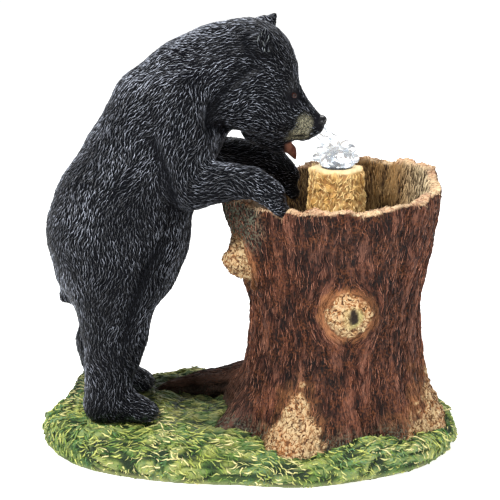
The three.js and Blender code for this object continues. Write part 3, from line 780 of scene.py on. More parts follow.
def earFlaps(settings):
    # rounded flaps with a narrower tip, hollow in front, where they are painted lighter: grey, brightened
    # further as painted light
    bm = bmesh.new()
    hollows, ways = [], []
    for ear in settings:
        made = bmesh.ops.create_uvsphere(bm, u_segments=30, v_segments=20, radius=1.0)
        facing = Vector(ear["facing"]).normalized()
        up = Vector(ear["up"])
        up = (up - up.dot(facing) * facing).normalized()
        across = up.cross(facing)
        wide, high = ear["size"]
        for vert in made["verts"]:
            u, v, w = vert.co
            middle = 1 - u * u - v * v
            spot = Vector(ear["centre"]) + across * u * wide * (1 - 0.45 * max(v, 0)) + up * v * high
            spot += facing * (3.2 * w - 3.5 * middle + 0.8 * noise.noise(Vector((u, v, w)) * 2))
            vert.co = spot * mm
            hollows.append((w > 0.1) * middle)
            ways.append(up + 0.6 * u * across)
    # the spheres' faces point outwards already, and their bowls would mislead a new search for outside
    mesh = bpy.data.meshes.new("ears")
    bm.to_mesh(mesh)
    bm.free()
    count = len(mesh.vertices)
    store(mesh, "paint", np.zeros((count, 4)), "FLOAT_COLOR")
    # painted light in the ear's hollow, strong enough to turn it grey
    store(mesh, "lit", 0.6 + 2.4 * ease(np.array(hollows), 0.2, 0.6), "FLOAT")
    store(mesh, "strandLength", np.full(count, 0.62), "FLOAT")
    store(mesh, "cover", np.ones(count), "FLOAT")
    store(mesh, "flow", np.array([tuple(way) for way in ways]))
    return mesh


clawSettings = {"length": 9.5, "radius": 2.0, "sides": 8}
# where the claws grow: first claw's place for the middle toe, direction, and step from toe to toe
clawRows = [
    {"root": (-110, -52, 54.5), "aim": (1, 0, -0.42), "step": 9.6},
    {"root": (-120, 52, 57.5), "aim": (1, 0, -0.42), "step": 9.6},
    {"root": (45.5, -88, 311), "aim": (0.6, 0, -0.8), "step": 7.6},
    {"root": (58.5, 68, 296), "aim": (0.45, 0, -0.9), "step": 7.6},
]


def clawSet(rows, settings):
    bm = bmesh.new()
    for row in rows:
        for i in range(-2, 3):
            aim = Vector(row["aim"]).normalized()
            root = Vector(row["root"]) + Vector((-2.5 * abs(i), i * row["step"], 0))
            turn = aim.to_track_quat("Z", "Y").to_matrix().to_4x4()
            made = bmesh.ops.create_cone(
                bm, cap_ends=True, cap_tris=False, segments=settings["sides"],
                radius1=settings["radius"] * mm, radius2=0.25 * mm, depth=settings["length"] * mm,
                matrix=Matrix.Translation(root * mm) @ turn,
            )
            edges = {e for v in made["verts"] for e in v.link_edges}
            sides = [e for e in edges if e.calc_length() > 4 * mm]
            bmesh.ops.subdivide_edges(bm, edges=sides, cuts=4, use_grid_fill=True)
            for vert in [v for v in bm.verts if not v.tag]:
                reach = (vert.co / mm - root).dot(aim) + settings["length"] / 2
                vert.co.z -= 0.028 * reach * reach * mm
                vert.tag = True
    return joinedMesh("claws", bm)


def makeBear():
    print("bear: carving")
    mesh = carvedBear(bearSettings)
    bm = bmesh.new()
    bm.from_mesh(mesh)
    surface = BVHTree.FromBMesh(bm)
    bm.free()
    # the coat in two pieces, above and below the waist
    strokes = furMaterial("bearFurStrokes", True)
    cover = np.empty(len(mesh.vertices), np.float32)
    mesh.attributes["cover"].data.foreach_get("value", cover)
    above = coordsOf(mesh)[:, 2] / mm > bearSettings["waist"]
    for name, share in (("bearFurUpper", above), ("bearFurLower", ~above)):
        restore(mesh, "cover", cover * share)
        addPiece(name, strewn(name, mesh, furSettings), strokes)
    pelt = furMaterial("bearSkin", False)
    addPiece("bearBody", mesh, pelt, ["bear_cub"])
    ears = earFlaps(earSettings)
    addPiece("bearEarFur", strewn("bearEarFur", ears, furSettings), strokes)
    addPiece("bearEars", ears, pelt)
    eyes, centres = eyePair(surface, eyeSettings)
    addPiece("bearEyes", eyes, glossMaterial("eyeBrown", glossPaints["eye"], 0.05, 0.25))
    skin = glossMaterial("darkSkin", glossPaints["skin"], 0.45, 0.06, 0.4)
    addPiece("bearEyelids", eyelidPair(centres, eyeSettings), skin)
    addPiece("bearNose", nosePad(noseSettings), skin)
    horn = glossMaterial("clawHorn", glossPaints["horn"], 0.35, 0.4)
    addPiece("bearClaws", clawSet(clawRows, clawSettings), horn)


# The stump

# the trunk's axis, the radius at which angles are read as lengths, and how far fibres are stretched
stumpSettings = {"voxel": 2.65, "smoothing": 3, "axis": 103.0, "wrap": 105.0, "squeeze": 5.0}
basin = {"floor": 197.0, "wall": 92.0, "rim": 296.0}
# knots: direction in degrees, height, and radius of the part that the bark has grown round
knotMarks = [
    {"turn": -84.0, "height": 189.0, "radius": 25.0},
    {"turn": -166.0, "height": 236.0, "radius": 27.0},
]
# roots worn down to pale wood: direction in degrees, half their width in radians, and height
wornRoots = [(-114, 0.50, 100), (-5, 1.2, 102)]
knotEye = (119.6, -117.8, 188.0)
stubEnd = (-10.0, -30.0, 237.0)
longRootLine = [(40, 0, 66), (-30, 14, 58), (-80, 26, 50), (-116, 34, 44)]
barkFibreSettings = {
    "spacing": 3.1, "density": 110000, "seed": 21, "length": (7, 15), "tilt": (1, 8), "stray": 0.24,
    "sides": 3, "tip": 0.0,
    "strands": [(2.5, 3.6, 0.9), (2.1, 3.0, -0.9)],  # width, height and bend of each shape
}
knobSettings = {
    "spacing": 2.9, "density": 130000, "seed": 22, "length": (4, 8), "tilt": (-4, 9), "stray": 0.9,
    "sides": 4, "tip": 0.2,
    "strands": [(3.6, 3.2, 0.8), (3.2, 2.8, -1.0)],  # width, height and bend of each shape
}


def turnFrom(angle, degrees):
    return (angle - math.radians(degrees) + math.pi) % math.tau - math.pi


def barkTurn(points):
    # the angle round the trunk, led round each knot and made to wander a little
    x, y, z = (points / mm).T
    axis, wrap = stumpSettings["axis"], stumpSettings["wrap"]
    angle = np.arctan2(y, x - axis)
    around = angle + 0.06 * noiseAt(points, 14.0) + 0.025 * noiseAt(points, 50.0, 3.0)
    for knot in knotMarks:
        across, rise = turnFrom(angle, knot["turn"]) * wrap, z - knot["height"]
        reach, radius = np.hypot(across, rise), knot["radius"]
        shift = -across * (radius / np.maximum(reach, radius)) ** 2
        around += shift / wrap * bell(reach, 3.5 * radius)
    return around


def barkFlow(points, normals):
    # along the surface, the way in which the angle round the trunk stays the same
    level = unit(np.cross(np.array([0.0, 0.0, 1.0]), normals))
    rise = np.cross(normals, level)
    here, step = barkTurn(points), 0.5 * mm
    sideways, upwards = (
        (barkTurn(points + step * way) - here + math.pi) % math.tau - math.pi for way in (level, rise)
    )
    return unit(rise * sideways[:, None] - level * upwards[:, None])


def knotMask(points, ragged):
    x, y, z = (points / mm).T
    angle = np.arctan2(y, x - stumpSettings["axis"])
    outside = ease(np.hypot(x - stumpSettings["axis"], y), 84, 92)
    mask = np.zeros(len(points))
    for knot in knotMarks:
        reach = np.hypot(turnFrom(angle, knot["turn"]) * stumpSettings["wrap"], z - knot["height"])
        mask = np.maximum(mask, fade(reach + 40 * ragged, knot["radius"] - 4, knot["radius"] + 3) * outside)
    return mask


def knobFlow(points, normals, along):
    # round the knots in a spiral, and else at random across the fibres
    flow = swung(along, np.cross(normals, along), 2.6 * noiseAt(points, 55.0, 12.0))
    for centre in (knotEye, stubEnd):
        near = fade(distanceTo(points, centre), 26, 34)[:, None]
        flow = flow * (1 - near) + unit(np.cross(normals, points - np.array(centre) * mm)) * near
    return flow


def wornMasks(points, angle, radius, ragged):
    # worn, pitted wood, as on the knots, the cut stub and two roots, and the warm bark round it
    z = points[:, 2] / mm
    worn = knotMask(points, ragged)
    warm = knotMask(points, ragged - 0.25)
    for turn, reach, high in wornRoots:
        off = np.abs(turnFrom(angle, turn)) / reach + z / high
        warm = np.maximum(warm, fade(off + 3.0 * ragged, 0.95, 1.45) * (radius > 96))
        worn = np.maximum(worn, fade(off + 1.2 * ragged, 0.84, 1.10) * (radius > 100))
    worn = np.maximum(worn, fade(distanceTo(points, stubEnd) + 40 * ragged, 24, 31))
    edge = (worn > 0.02) * (worn < 0.98)
    return ease(worn + 0.8 * noiseAt(points, 130.0, 7.0) * edge, 0.3, 0.6), warm


def barkRelief(points, normals, grain, worn, floor, top):
    # folds along the fibres, lumps in the worn wood, and a fuller back on the long root
    folds = 1.8 * (2.4 * ridgesAt(grain, 0.5, 2.0) - 0.5) + 1.6 * (2.4 * ridgesAt(grain, 1.3, 7.0) - 0.5)
    folds += 0.5 * noiseAt(points, 200.0, 6.0)
    lumps = 2.6 * (2.2 * ridgesAt(points, 75.0, 8.0) - 0.4) + 1.0 * noiseAt(points, 180.0)
    height = folds * (1 - 0.6 * worn) + worn * lumps
    height *= (1 - floor) * (1 - 0.6 * top)
    height += 9.0 * bell(nearLine(points, longRootLine), 26) * ease(normals[:, 2], 0.1, 0.6)
    return height * ease(points[:, 2] / mm, 8, 14)


def knotMarksAt(points, x, z, ragged):
    # the knot in front: a pale crescent of painted highlight on its rim, and a dark hollow of painted shade
    eye = np.linalg.norm((points / mm - np.array(knotEye)) / np.array([1.0, 1.0, 1.15]), axis=1)
    right = ease(x - 0.4 * (z - knotEye[2]), 116, 124)
    pale = fade(eye + 25 * ragged, 12, 17) * ease(eye, 6, 9) * (0.3 + 0.7 * right)
    slit = np.hypot(x - knotEye[0], 0.4 * (z - knotEye[2]))
    return pale, fade(slit + 8 * ragged, 3.8, 6.8) * fade(eye, 11, 14)


def carvedStump(settings):
    mesh = castingCopy("stump_basin", settings["voxel"], settings["smoothing"])
    points, normals = coordsOf(mesh), normalsOf(mesh)
    x, y, z = (points / mm).T
    axis, wrap = settings["axis"], settings["wrap"]
    radius, angle = np.hypot(x - axis, y), np.arctan2(y, x - axis)
    around = barkTurn(points)
    grain = np.stack([wrap * np.cos(around), wrap * np.sin(around), z / settings["squeeze"]], 1) / 10
    outward = (normals[:, 0] * (x - axis) + normals[:, 1] * y) / np.maximum(radius, 1)
    inner = ease(-outward, 0.15, 0.5) * ease(z, 196, 206) * fade(radius, 118, 132)
    floor = fade(np.abs(z - basin["floor"]), 4, 8) * (radius < basin["wall"])
    top = ease(normals[:, 2], 0.35, 0.75) * ease(z, 290, 300)
    ragged = 0.12 * noiseAt(points, 40.0) + 0.10 * noiseAt(points, 110.0, 2.0)
    worn, warm = wornMasks(points, angle, radius, ragged)
    height = barkRelief(points, normals, grain, worn, floor, top)
    moved = points + normals * height[:, None] * mm
    broken = 3.4 * noiseAt(points, 60.0, 9.0) + 2.2 * noiseAt(points, 170.0, 3.0)
    moved[:, 2] += np.maximum(top, 0.7 * ease(z, basin["rim"], 306)) * broken * mm
    setCoords(mesh, moved)
    store(mesh, "grain", grain)
    # paint: red is cut wood on the rim, green is worn wood, blue is the basin's inside, alpha is relief
    lip = np.maximum(top, fade(np.abs(outward), 0.25, 0.6) * ease(z, basin["rim"], 304))
    lip = np.clip(lip * (1 + 5 * ragged), 0, 1)
    paint = [lip, worn, np.maximum(inner, floor), height / 5 + 0.5]
    store(mesh, "paint", np.stack(paint, 1), "FLOAT_COLOR")
    # marks: red is the knot's pale crescent, a painted highlight, green is painted shade in its hollow and
    # behind the trunk, blue is moss
    pale, dark = knotMarksAt(points, x, z, ragged)
    shade = fade(z, 60, 110) * ease(np.abs(turnFrom(angle, 168)), 0.9, 0.3)
    lipMoss = fade(x + 60 * ragged, 2, 20) * ease(z, 246, 270) * (y < 10)
    moss = np.maximum(0.8 * fade(z + 60 * ragged, 36, 60) * (1 - worn), 0.9 * lipMoss)
    marks = [pale, np.maximum(dark, 0.75 * shade), moss, warm]
    store(mesh, "marks", np.stack(marks, 1), "FLOAT_COLOR")
    # where the fibres and the knobs grow
    ground = ease(z, 10, 16) * fade(dark, 0.3, 0.7)
    knobs = np.maximum(worn, lip) * ground
    along = barkFlow(points, normals)
    store(mesh, "cover", np.clip(1 - knobs - floor, 0, 1) * ground, "FLOAT")
    store(mesh, "strandLength", 1 - 0.35 * ease(knobs, 0.1, 0.5), "FLOAT")
    store(mesh, "flow", along)
    return mesh, knobs, knobFlow(points, normals, along)


woodPaints = {
    "bark": ((0.062, 0.020, 0.014), (0.130, 0.032, 0.014)),
    "barkShadow": (0.018, 0.007, 0.005),
    "barkGapShade": (0.0025, 0.0012, 0.001),
    "brushed": (0.84, 0.40, 0.26),
    "orange": (0.24, 0.078, 0.026),
    "warm": (0.34, 0.145, 0.055),
    "moss": (0.085, 0.105, 0.075),
    "wall": ((0.38, 0.19, 0.055), (0.52, 0.34, 0.14)),
    "wallSun": (0.86, 0.70, 0.45),
    "wallPale": (0.70, 0.53, 0.28),
    "wallGapShade": (0.026, 0.012, 0.005),
    "worn": ((0.36, 0.22, 0.10), (0.31, 0.125, 0.038)),
    "wornPale": (0.58, 0.45, 0.26),
    "wornShadow": (0.085, 0.036, 0.015),
    "wornGapShade": (0.045, 0.020, 0.010),
    "cut": ((0.40, 0.16, 0.075), (0.64, 0.45, 0.255)),
    "cutPale": (0.80, 0.62, 0.40),
    "cutGapShade": (0.10, 0.040, 0.018),
    "crescentHighlight": (0.42, 0.37, 0.15),
    "hollow": (0.014, 0.008, 0.005),
}
sunnyWall = (0.175, 0.215)  # from here on, in metres along, the basin's wall is pale, as painted light on its sunlit side


def woodColors(tree, strands):
    # the bark, the basin's wall, the worn wood and the cut rim, each with its own paints
    place = objectPlace(tree)
    rim, worn, inside, carved = channels(tree, "paint")
    crescentHighlight, hollow, moss, warm = channels(tree, "marks")
    patch = placeGroup(tree, mottle, Vector=place, Scale=14.0, Contrast=0.3)
    small = placeGroup(tree, mottle, Vector=place, Scale=42.0, Contrast=0.5)
    grain = attribute(tree, "grain", "Vector")
    fine = placeGroup(tree, fibres, Vector=grain, Scale=8.0, Wander=0.6)["Height"]
    pitted = placeGroup(tree, fibres, Vector=place, Scale=300.0, Wander=0.0)["Height"]
    if strands:
        mix = attribute(tree, "shade")
        relief = added(tree, product(tree, attribute(tree, "ridge"), 0.7), product(tree, fine, 0.3))
        gap = rampNode(tree, relief, 0.25, 0.78)
        brush = product(tree, rampNode(tree, mix, 0.3, 1.0), 0.95)
    else:
        mix = pitted
        relief = added(tree, product(tree, carved, 0.6), product(tree, fine, 0.5))
        gap = product(tree, rampNode(tree, relief, 0.42, 0.9), 0.5)
        brush = 0.1
    bark = mixColor(tree, patch["Mask"], *woodPaints["bark"])
    bark = mixColor(tree, rampNode(tree, mix, 0.6, 0.15), bark, woodPaints["barkShadow"])
    # painted shade in the gaps between the fibres and in the low relief
    bark = mixColor(tree, gap, woodPaints["barkGapShade"], bark)
    lit = placeGroup(
        tree, dryBrush, Color=bark, Paint=woodPaints["brushed"],
        Height=relief, Patch=brush, From=0.6, To=0.98,
    )
    along = addNode(tree, "ShaderNodeSeparateXYZ", Vector=place).outputs["X"]
    # the wall is painted pale on its sunlit side, as painted light
    wall = coated(tree, mixColor(tree, patch["Mask"], *woodPaints["wall"]), [
        (rampNode(tree, along, *sunnyWall), woodPaints["wallSun"]),
        (product(tree, mix, 0.35), woodPaints["wallPale"]),
    ])
    # painted shade in the pits of the worn wood and the cut rim, by their low relief
    soft = added(tree, 0.08, product(tree, rampNode(tree, relief, 0.1, 0.62), 0.92))
    tan = coated(tree, mixColor(tree, small["Mask"], *woodPaints["worn"]), [
        (rampNode(tree, mix, 0.45, 1.0), woodPaints["wornPale"]),
        (rampNode(tree, mix, 0.5, 0.2), woodPaints["wornShadow"]),
    ])
    cut = mixColor(tree, small["Mask"], *woodPaints["cut"])
    cut = mixColor(tree, product(tree, mix, 0.6), cut, woodPaints["cutPale"])
    color = coated(tree, lit["Color"], [
        (product(tree, small["Mask"], small["Speck"], 0.35), woodPaints["orange"]),
        (product(tree, warm, rampNode(tree, relief, 0.3, 0.9), 0.6), woodPaints["warm"]),
        (product(tree, moss, small["Speck"]), woodPaints["moss"]),
        # painted shade in the gaps of the basin's wall
        (inside, mixColor(tree, gap, woodPaints["wallGapShade"], wall)),
        (worn, mixColor(tree, soft, woodPaints["wornGapShade"], tan)),
        (rim, mixColor(tree, soft, woodPaints["cutGapShade"], cut)),
        # painted highlight on the knot's crescent, then painted shade in its hollow and behind the trunk
        (product(tree, crescentHighlight, 0.75), woodPaints["crescentHighlight"]),
        (hollow, woodPaints["hollow"]),
    ])
    return color, fine, pitted


def woodMaterial(name, strands):
    material, tree, shader = newMaterial(name)
    color, fine, pitted = woodColors(tree, strands)
    rough = added(tree, 0.5, product(tree, fine, 0.25))
    bumps = added(tree, fine, product(tree, pitted, 0.6))
    finishShader(tree, shader, color, rough, bumps, 1.2, 0.7, 0.16)
    return material


def makeStump():
    print("stump: carving the bark")
    mesh, knobs, knobWay = carvedStump(stumpSettings)
    strokes = woodMaterial("barkStrokes", True)
    addPiece("stumpFibres", strewn("fibres", mesh, barkFibreSettings), strokes)
    restore(mesh, "cover", knobs)
    restore(mesh, "flow", knobWay, "vector")
    addPiece("stumpKnobs", strewn("knobs", mesh, knobSettings), strokes)
    addPiece("stumpBark", mesh, woodMaterial("paintedBark", False), ["stump_basin"])


# The turf

turfSettings = {"voxel": 3.0, "smoothing": 4}
bladeSettings = {
    "spacing": 3.8, "density": 80000, "seed": 12, "length": (8, 17), "tilt": (1, 10), "stray": 0.6,
    "sides": 3, "tip": 0.0,
    "strands": [(6.0, 4.6, 1.8), (5.0, 4.0, -1.8)],  # width, height and bend of each shape
}
# clumps of moss that rise from the turf: middle, spread across and rise, in millimetres
mossClumps = [((-208, 64), 17, 29), ((-226, 10), 20, 6), ((-92, 96), 34, 6), ((150, -128), 22, 4)]
mossHeart = (-196, 62)
rootShade = [(-150, 70, 0), (-40, 40, 0), (10, 10, 0)]
footShade = [(-70, -22, 0), (12, -62, 0)]


def carvedTurf(settings):
    mesh = castingCopy("turf_base", settings["voxel"], settings["smoothing"])
    points, normals = coordsOf(mesh), normalsOf(mesh)
    x, y, z = (points / mm).T
    turn = 0.3 + 1.3 * noiseAt(points, 9.0, 5.0)
    along = points[:, 0] * np.cos(turn) + points[:, 1] * np.sin(turn)
    across = points[:, 1] * np.cos(turn) - points[:, 0] * np.sin(turn)
    matted = np.stack([0.33 * along, across, 1.3 * points[:, 2]], 1)
    matted += 0.004 * np.stack([noiseAt(points, 60.0, s) for s in (1.0, 11.0, 21.0)], 1)
    height = 4.2 * (2.3 * ridgesAt(matted, 70.0, 8.0) - 0.45) + 2.8 * noiseAt(points, 42.0, 4.0)
    height *= ease(z, 0.5, 7)
    moved = points + normals * height[:, None] * mm
    for (cx, cy), spread, rise in mossClumps:
        moved[:, 2] += rise * bell(np.hypot(x - cx, y - cy), spread) * ease(z, 4, 24) * mm
    setCoords(mesh, moved)
    store(mesh, "relief", height / 6 + 0.5, "FLOAT")
    swirl = 1.6 * noiseAt(points, 14.0, 6.0) + 1.4 * noiseAt(points, 45.0, 2.0)
    base = unit(np.cross(normals, np.array([0.15, 1.0, 0.35])))
    store(mesh, "flow", swung(base, np.cross(normals, base), swirl))
    store(mesh, "cover", ease(z, 1, 4), "FLOAT")
    store(mesh, "strandLength", 0.55 + 0.45 * ease(z, 6, 26), "FLOAT")
    # paint: red is painted shade along the long root and between the feet, and dark moss on its clump,
    # green is dry grass
    rough = 18 * noiseAt(points, 22.0, 3.0)
    planView = points * np.array([1, 1, 0])
    # painted shade along the long root and between the feet
    dark = fade(nearLine(planView, rootShade) + rough, 30, 62)
    dark = np.maximum(dark, 0.8 * fade(nearLine(planView, footShade) + rough, 18, 42))
    clump = 0.8 * fade(np.hypot(x - mossHeart[0], y - mossHeart[1]) + rough, 16, 34)
    dry = ease(noiseAt(points, 26.0, 9.0) + 0.5 * noiseAt(points, 80.0, 5.0), -0.15, 0.35) * (1 - dark)
    none = np.zeros(len(points))
    store(mesh, "paint", np.stack([np.maximum(dark, clump), dry, none, none], 1), "FLOAT_COLOR")
    return mesh


grassPaints = {
    "green": ((0.11, 0.21, 0.035), (0.34, 0.39, 0.075)),
    "teal": (0.10, 0.27, 0.17),
    "yellowGreen": (0.50, 0.53, 0.14),
    "straw": (0.78, 0.66, 0.32),
    "deepGreen": (0.026, 0.075, 0.018),
    "brushed": (0.92, 0.82, 0.46),
    "gap": (0.008, 0.020, 0.006),
    "moss": ((0.030, 0.050, 0.022), (0.060, 0.046, 0.022)),
    "mossGapShade": (0.006, 0.010, 0.005),
    "edge": (0.44, 0.42, 0.20),
}
paintedEdge = (0.009, 0.001)  # below this height in metres the turf's edge is plain


def grassMaterial(name, strands):
    material, tree, shader = newMaterial(name)
    place = objectPlace(tree)
    mossAndShade, dry, _, _ = channels(tree, "paint")
    patch = placeGroup(tree, mottle, Vector=place, Scale=11.0, Contrast=0.5)
    small = placeGroup(tree, mottle, Vector=place, Scale=48.0, Contrast=0.6)
    up = addNode(tree, "ShaderNodeSeparateXYZ", Vector=place).outputs["Z"]
    green = mixColor(tree, small["Mask"], *grassPaints["green"])
    green = mixColor(tree, product(tree, patch["Mask"], small["Speck"], 0.75), green, grassPaints["teal"])
    if strands:
        rise, shade = attribute(tree, "ridge"), attribute(tree, "shade")
        green = coated(tree, green, [
            (rampNode(tree, shade, 0.4, 0.85), grassPaints["yellowGreen"]),
            (product(tree, dry, rampNode(tree, shade, 0.3, 0.9), 0.7), grassPaints["straw"]),
            (rampNode(tree, shade, 0.3, 0.0), grassPaints["deepGreen"]),
        ])
        reach = product(tree, dry, rampNode(tree, shade, 0.4, 1.0), 0.35)
        # painted shade between the blades, at their low edges
        deep = added(tree, 0.1, rampNode(tree, rise, 0.0, 0.4))
        start, stop = 0.05, 0.7
    else:
        rise = attribute(tree, "relief")
        reach, start, stop = 0.12, 0.5, 0.9
        # painted shade in the hollows of the ground
        deep = product(tree, rampNode(tree, rise, 0.2, 0.8), 0.6)
    lit = placeGroup(
        tree, dryBrush, Color=green, Paint=grassPaints["brushed"],
        Height=rise, Patch=reach, From=start, To=stop,
    )
    moss = mixColor(tree, small["Mask"], *grassPaints["moss"])
    # painted shade in the gaps, by deep
    color = coated(tree, mixColor(tree, deep, grassPaints["gap"], lit["Color"]), [
        # painted shade along the root and between the feet, and dark moss on its clump
        (product(tree, mossAndShade, 0.8), mixColor(tree, deep, grassPaints["mossGapShade"], moss)),
        (product(tree, rampNode(tree, up, *paintedEdge), 0.25), grassPaints["edge"]),
    ])
    rough = math2(tree, "SUBTRACT", 0.7, product(tree, small["Mask"], 0.2))
    finishShader(tree, shader, color, rough, small["Speck"], 0.8, 0.5, 0.25)
    return material


def makeTurf():
    print("turf: carving the grass")
    mesh = carvedTurf(turfSettings)
    blades = strewn("grass", mesh, bladeSettings)
    addPiece("turfGround", mesh, grassMaterial("turfGreen", False), ["turf_base"])
    addPiece("turfBlades", blades, grassMaterial("bladeGreen", True))


# The pump cover, its lights and the water

logSettings = {"voxel": 2.0, "smoothing": 2, "axis": 103.0, "wrap": 34.0, "squeeze": 5.0}
wormSettings = {
    "spacing": 3.6, "density": 120000, "seed": 31, "length": (6, 12), "tilt": (-3, 5), "stray": 0.8,
    "sides": 4, "tip": 0.25,
    "strands": [(3.0, 3.0, 1.5), (2.6, 2.6, -1.5)],  # width, height and bend of each shape
}


def carvedLog(settings):
    mesh = castingCopy("pump_log", settings["voxel"], settings["smoothing"])
    points, normals = coordsOf(mesh), normalsOf(mesh)
    x, y, z = (points / mm).T
    axis, wrap = settings["axis"], settings["wrap"]
    twist = np.arctan2(y, x - axis) + 0.15 * noiseAt(points, 25.0)
    grain = np.stack([wrap * np.cos(twist), wrap * np.sin(twist), z / settings["squeeze"]], 1) / 10
    outside = ease(np.hypot(x - axis, y), 22, 26)
    height = 1.0 * (2.4 * ridgesAt(grain, 1.6) - 0.5) + 1.8 * (2.4 * ridgesAt(points, 95.0, 3.0) - 0.45)
    height *= outside
    setCoords(mesh, points + normals * height[:, None] * mm)
    store(mesh, "grain", grain)
    # paint: red is the pale cut top, alpha is the relief
    pale = ease(normals[:, 2], 0.3, 0.8) * ease(z, 320, 334)
    none = np.zeros(len(points))
    store(mesh, "paint", np.stack([pale, none, none, height / 3 + 0.5], 1), "FLOAT_COLOR")
    up = np.array([[0.0, 0.0, 1.0]])
    store(mesh, "flow", swung(up, np.cross(normals, up), 1.5 * noiseAt(points, 60.0, 4.0)))
    store(mesh, "cover", outside * (1 - pale) * ease(z, 200, 206), "FLOAT")
    store(mesh, "strandLength", np.ones(len(points)), "FLOAT")
    return mesh


logPaints = {
    "ochre": ((0.66, 0.37, 0.085), (0.86, 0.62, 0.25)),
    "pale": (0.86, 0.68, 0.36),
    "gap": (0.16, 0.060, 0.012),
    "rust": (0.38, 0.155, 0.03),
    "cutTop": (0.70, 0.55, 0.30),
}


def logMaterial(name, strands):
    material, tree, shader = newMaterial(name)
    top, _, _, carved = channels(tree, "paint")
    fine = placeGroup(tree, fibres, Vector=attribute(tree, "grain", "Vector"), Scale=9.0, Wander=0.5)
    patch = placeGroup(tree, mottle, Vector=objectPlace(tree), Scale=30.0, Contrast=0.4)
    ochre = mixColor(tree, patch["Mask"], *logPaints["ochre"])
    if strands:
        ochre = mixColor(tree, product(tree, attribute(tree, "shade"), 0.6), ochre, logPaints["pale"])
        relief = added(tree, 0.2, rampNode(tree, attribute(tree, "ridge"), 0.0, 0.5))
    else:
        relief = added(tree, 0.2, product(tree, rampNode(tree, carved, 0.3, 0.9), 0.5))
    # painted shade in the grooves, where the relief is low
    color = coated(tree, mixColor(tree, relief, logPaints["gap"], ochre), [
        (product(tree, patch["Speck"], 0.45), logPaints["rust"]),
        (top, logPaints["cutTop"]),
    ])
    finishShader(tree, shader, color, 0.7, fine["Height"], 1.0, 0.6)
    return material


def lampMaterial():
    material, tree, shader = newMaterial("lampGlow")
    place = objectPlace(tree)
    patch = placeGroup(tree, mottle, Vector=place, Scale=260.0, Contrast=0.3)
    color = mixColor(tree, patch["Mask"], (0.75, 0.85, 1.0), (1.0, 1.0, 1.0))
    finishShader(tree, shader, color, 0.08)
    tree.links.new(color, shader.inputs["Emission Color"])
    shader.inputs["Emission Strength"].default_value = 1.6
    return material


def waterMaterial():
    material, tree, shader = newMaterial("clearWater")
    place = objectPlace(tree)
    ripple = addNode(tree, "ShaderNodeTexNoise", Vector=place, Scale=240.0, Detail=2.0)
    patch = placeGroup(tree, mottle, Vector=place, Scale=90.0, Contrast=0.3)
    color = mixColor(tree, patch["Mask"], (0.82, 0.91, 1.0), (1.0, 1.0, 1.0))
    rough = added(tree, 0.05, product(tree, patch["Speck"], 0.07))
    finishShader(tree, shader, color, rough, ripple.outputs[0], 1.0, 0.5)
    # a faint glow painted into the water, as painted light from the lamps below it
    tree.links.new(color, shader.inputs["Emission Color"])
    shader.inputs["Emission Strength"].default_value = 0.08
    shader.inputs["IOR"].default_value = 1.22
    shader.inputs["Transmission Weight"].default_value = 0.85
    return material


plumeSettings = {"foot": (103.0, 0.0, 344.0), "radius": 21.0, "height": 27.0, "voxel": 1.1}
# jets that stand out of the dome: from, to, radius at each end, in millimetres from the foot
plumeJets = [
    ((-4, 0, 12), (-15, -3, 30), 8.0, 4.6), ((2, 2, 12), (-4, 3, 32), 8.5, 4.2),
    ((6, -3, 10), (10, -3, 26), 8.5, 4.6), ((-8, -5, 8), (-20, -6, 19), 7.5, 4.4),
    ((8, 5, 8), (18, 4, 20), 7.5, 4.2), ((0, -8, 8), (2, -16, 17), 7.5, 4.0),
    ((10, 0, 5), (22, -2, 9), 6.5, 4.2), ((-10, 3, 5), (-24, 1, 9), 6.5, 4.2),
    ((0, 8, 8), (2, 16, 16), 7.5, 4.0), ((-4, 3, 30), (-14, 3, 46), 5.0, 3.2),
    ((-14, 3, 46), (-18, 2, 53), 3.2, 2.4), ((-15, -3, 30), (-24, -3, 38), 4.4, 2.8),
]


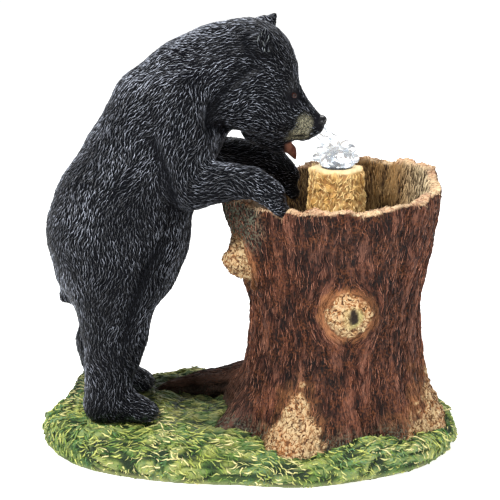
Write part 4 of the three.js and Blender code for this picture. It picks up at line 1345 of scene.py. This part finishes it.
def waterPlume(settings):
    foot = Vector(settings["foot"])
    wide, high = settings["radius"], settings["height"]
    dome = Matrix.Diagonal((wide * mm, 0.9 * wide * mm, 0.62 * high * mm, 1))
    bm = bmesh.new()
    bmesh.ops.create_icosphere(
        bm, subdivisions=3, radius=1.0, matrix=Matrix.Translation((foot + Vector((0, 0, 6))) * mm) @ dome,
    )
    for start, end, thick, thin in plumeJets:
        a, b = Vector(start), Vector(end)
        turn = (b - a).to_track_quat("Z", "Y").to_matrix().to_4x4()
        bmesh.ops.create_cone(
            bm, cap_ends=True, cap_tris=False, segments=10, radius1=thick * mm, radius2=thin * mm,
            depth=(b - a).length * mm, matrix=Matrix.Translation((foot + (a + b) / 2) * mm) @ turn,
        )
        tip = Matrix.Translation((foot + b) * mm)
        bmesh.ops.create_icosphere(bm, subdivisions=2, radius=thin * 1.25 * mm, matrix=tip)
    seed = joinedMesh("plumeSeed", bm)
    holder = bpy.data.objects.new("plumeHolder", seed)
    scene.collection.objects.link(holder)
    remesh = holder.modifiers.new("one", "REMESH")
    remesh.mode = "VOXEL"
    remesh.voxel_size = settings["voxel"] * mm
    smooth = holder.modifiers.new("soft", "SMOOTH")
    smooth.iterations = 8
    mesh = evaluatedMesh(holder)
    bpy.data.objects.remove(holder)
    points, normals = coordsOf(mesh), normalsOf(mesh)
    height = 2.2 * noiseAt(points, 110.0) + 0.5 * noiseAt(points, 260.0, 5.0)
    points += normals * height[:, None] * mm
    points[:, 2] = np.maximum(points[:, 2], (foot.z + 0.6) * mm)
    setCoords(mesh, points)
    return mesh


def makeWaterworks():
    print("pump cover: carving the log")
    mesh = carvedLog(logSettings)
    ridges = strewn("ridges", mesh, wormSettings)
    addPiece("coverRidges", ridges, logMaterial("logRidges", True))
    addPiece("coverLog", mesh, logMaterial("weatheredLog", False), ["pump_log"])
    black = glossMaterial("blackPlastic", glossPaints["plastic"], 0.2, 0.5, 0.4)
    glow = lampMaterial()
    for name, node in cadNodes.items():
        if name == "light_ring" or name.startswith("lamp_"):
            node.data.materials.clear()
            node.data.materials.append(black if name == "light_ring" else glow)
    print("water: the plume")
    addPiece("waterPlume", waterPlume(plumeSettings), waterMaterial())


def makeFloor():
    bm = bmesh.new()
    bmesh.ops.create_grid(bm, x_segments=1, y_segments=1, size=6.0)
    floorMesh = bpy.data.meshes.new("floor")
    bm.to_mesh(floorMesh)
    bm.free()
    material, _, shader = newMaterial("paleFloor")
    shader.inputs["Base Color"].default_value = (0.93, 0.93, 0.93, 1)
    shader.inputs["Roughness"].default_value = 0.9
    shader.inputs["Emission Color"].default_value = (1.0, 1.0, 1.0, 1)
    shader.inputs["Emission Strength"].default_value = 0.6
    floorMesh.materials.append(material)
    floor = bpy.data.objects.new("floor", floorMesh)
    scene.collection.objects.link(floor)


setCamera(cameraSettings)
setLights(studioLights)
makeFloor()
makeBear()
makeStump()
makeTurf()
makeWaterworks()

print("done")
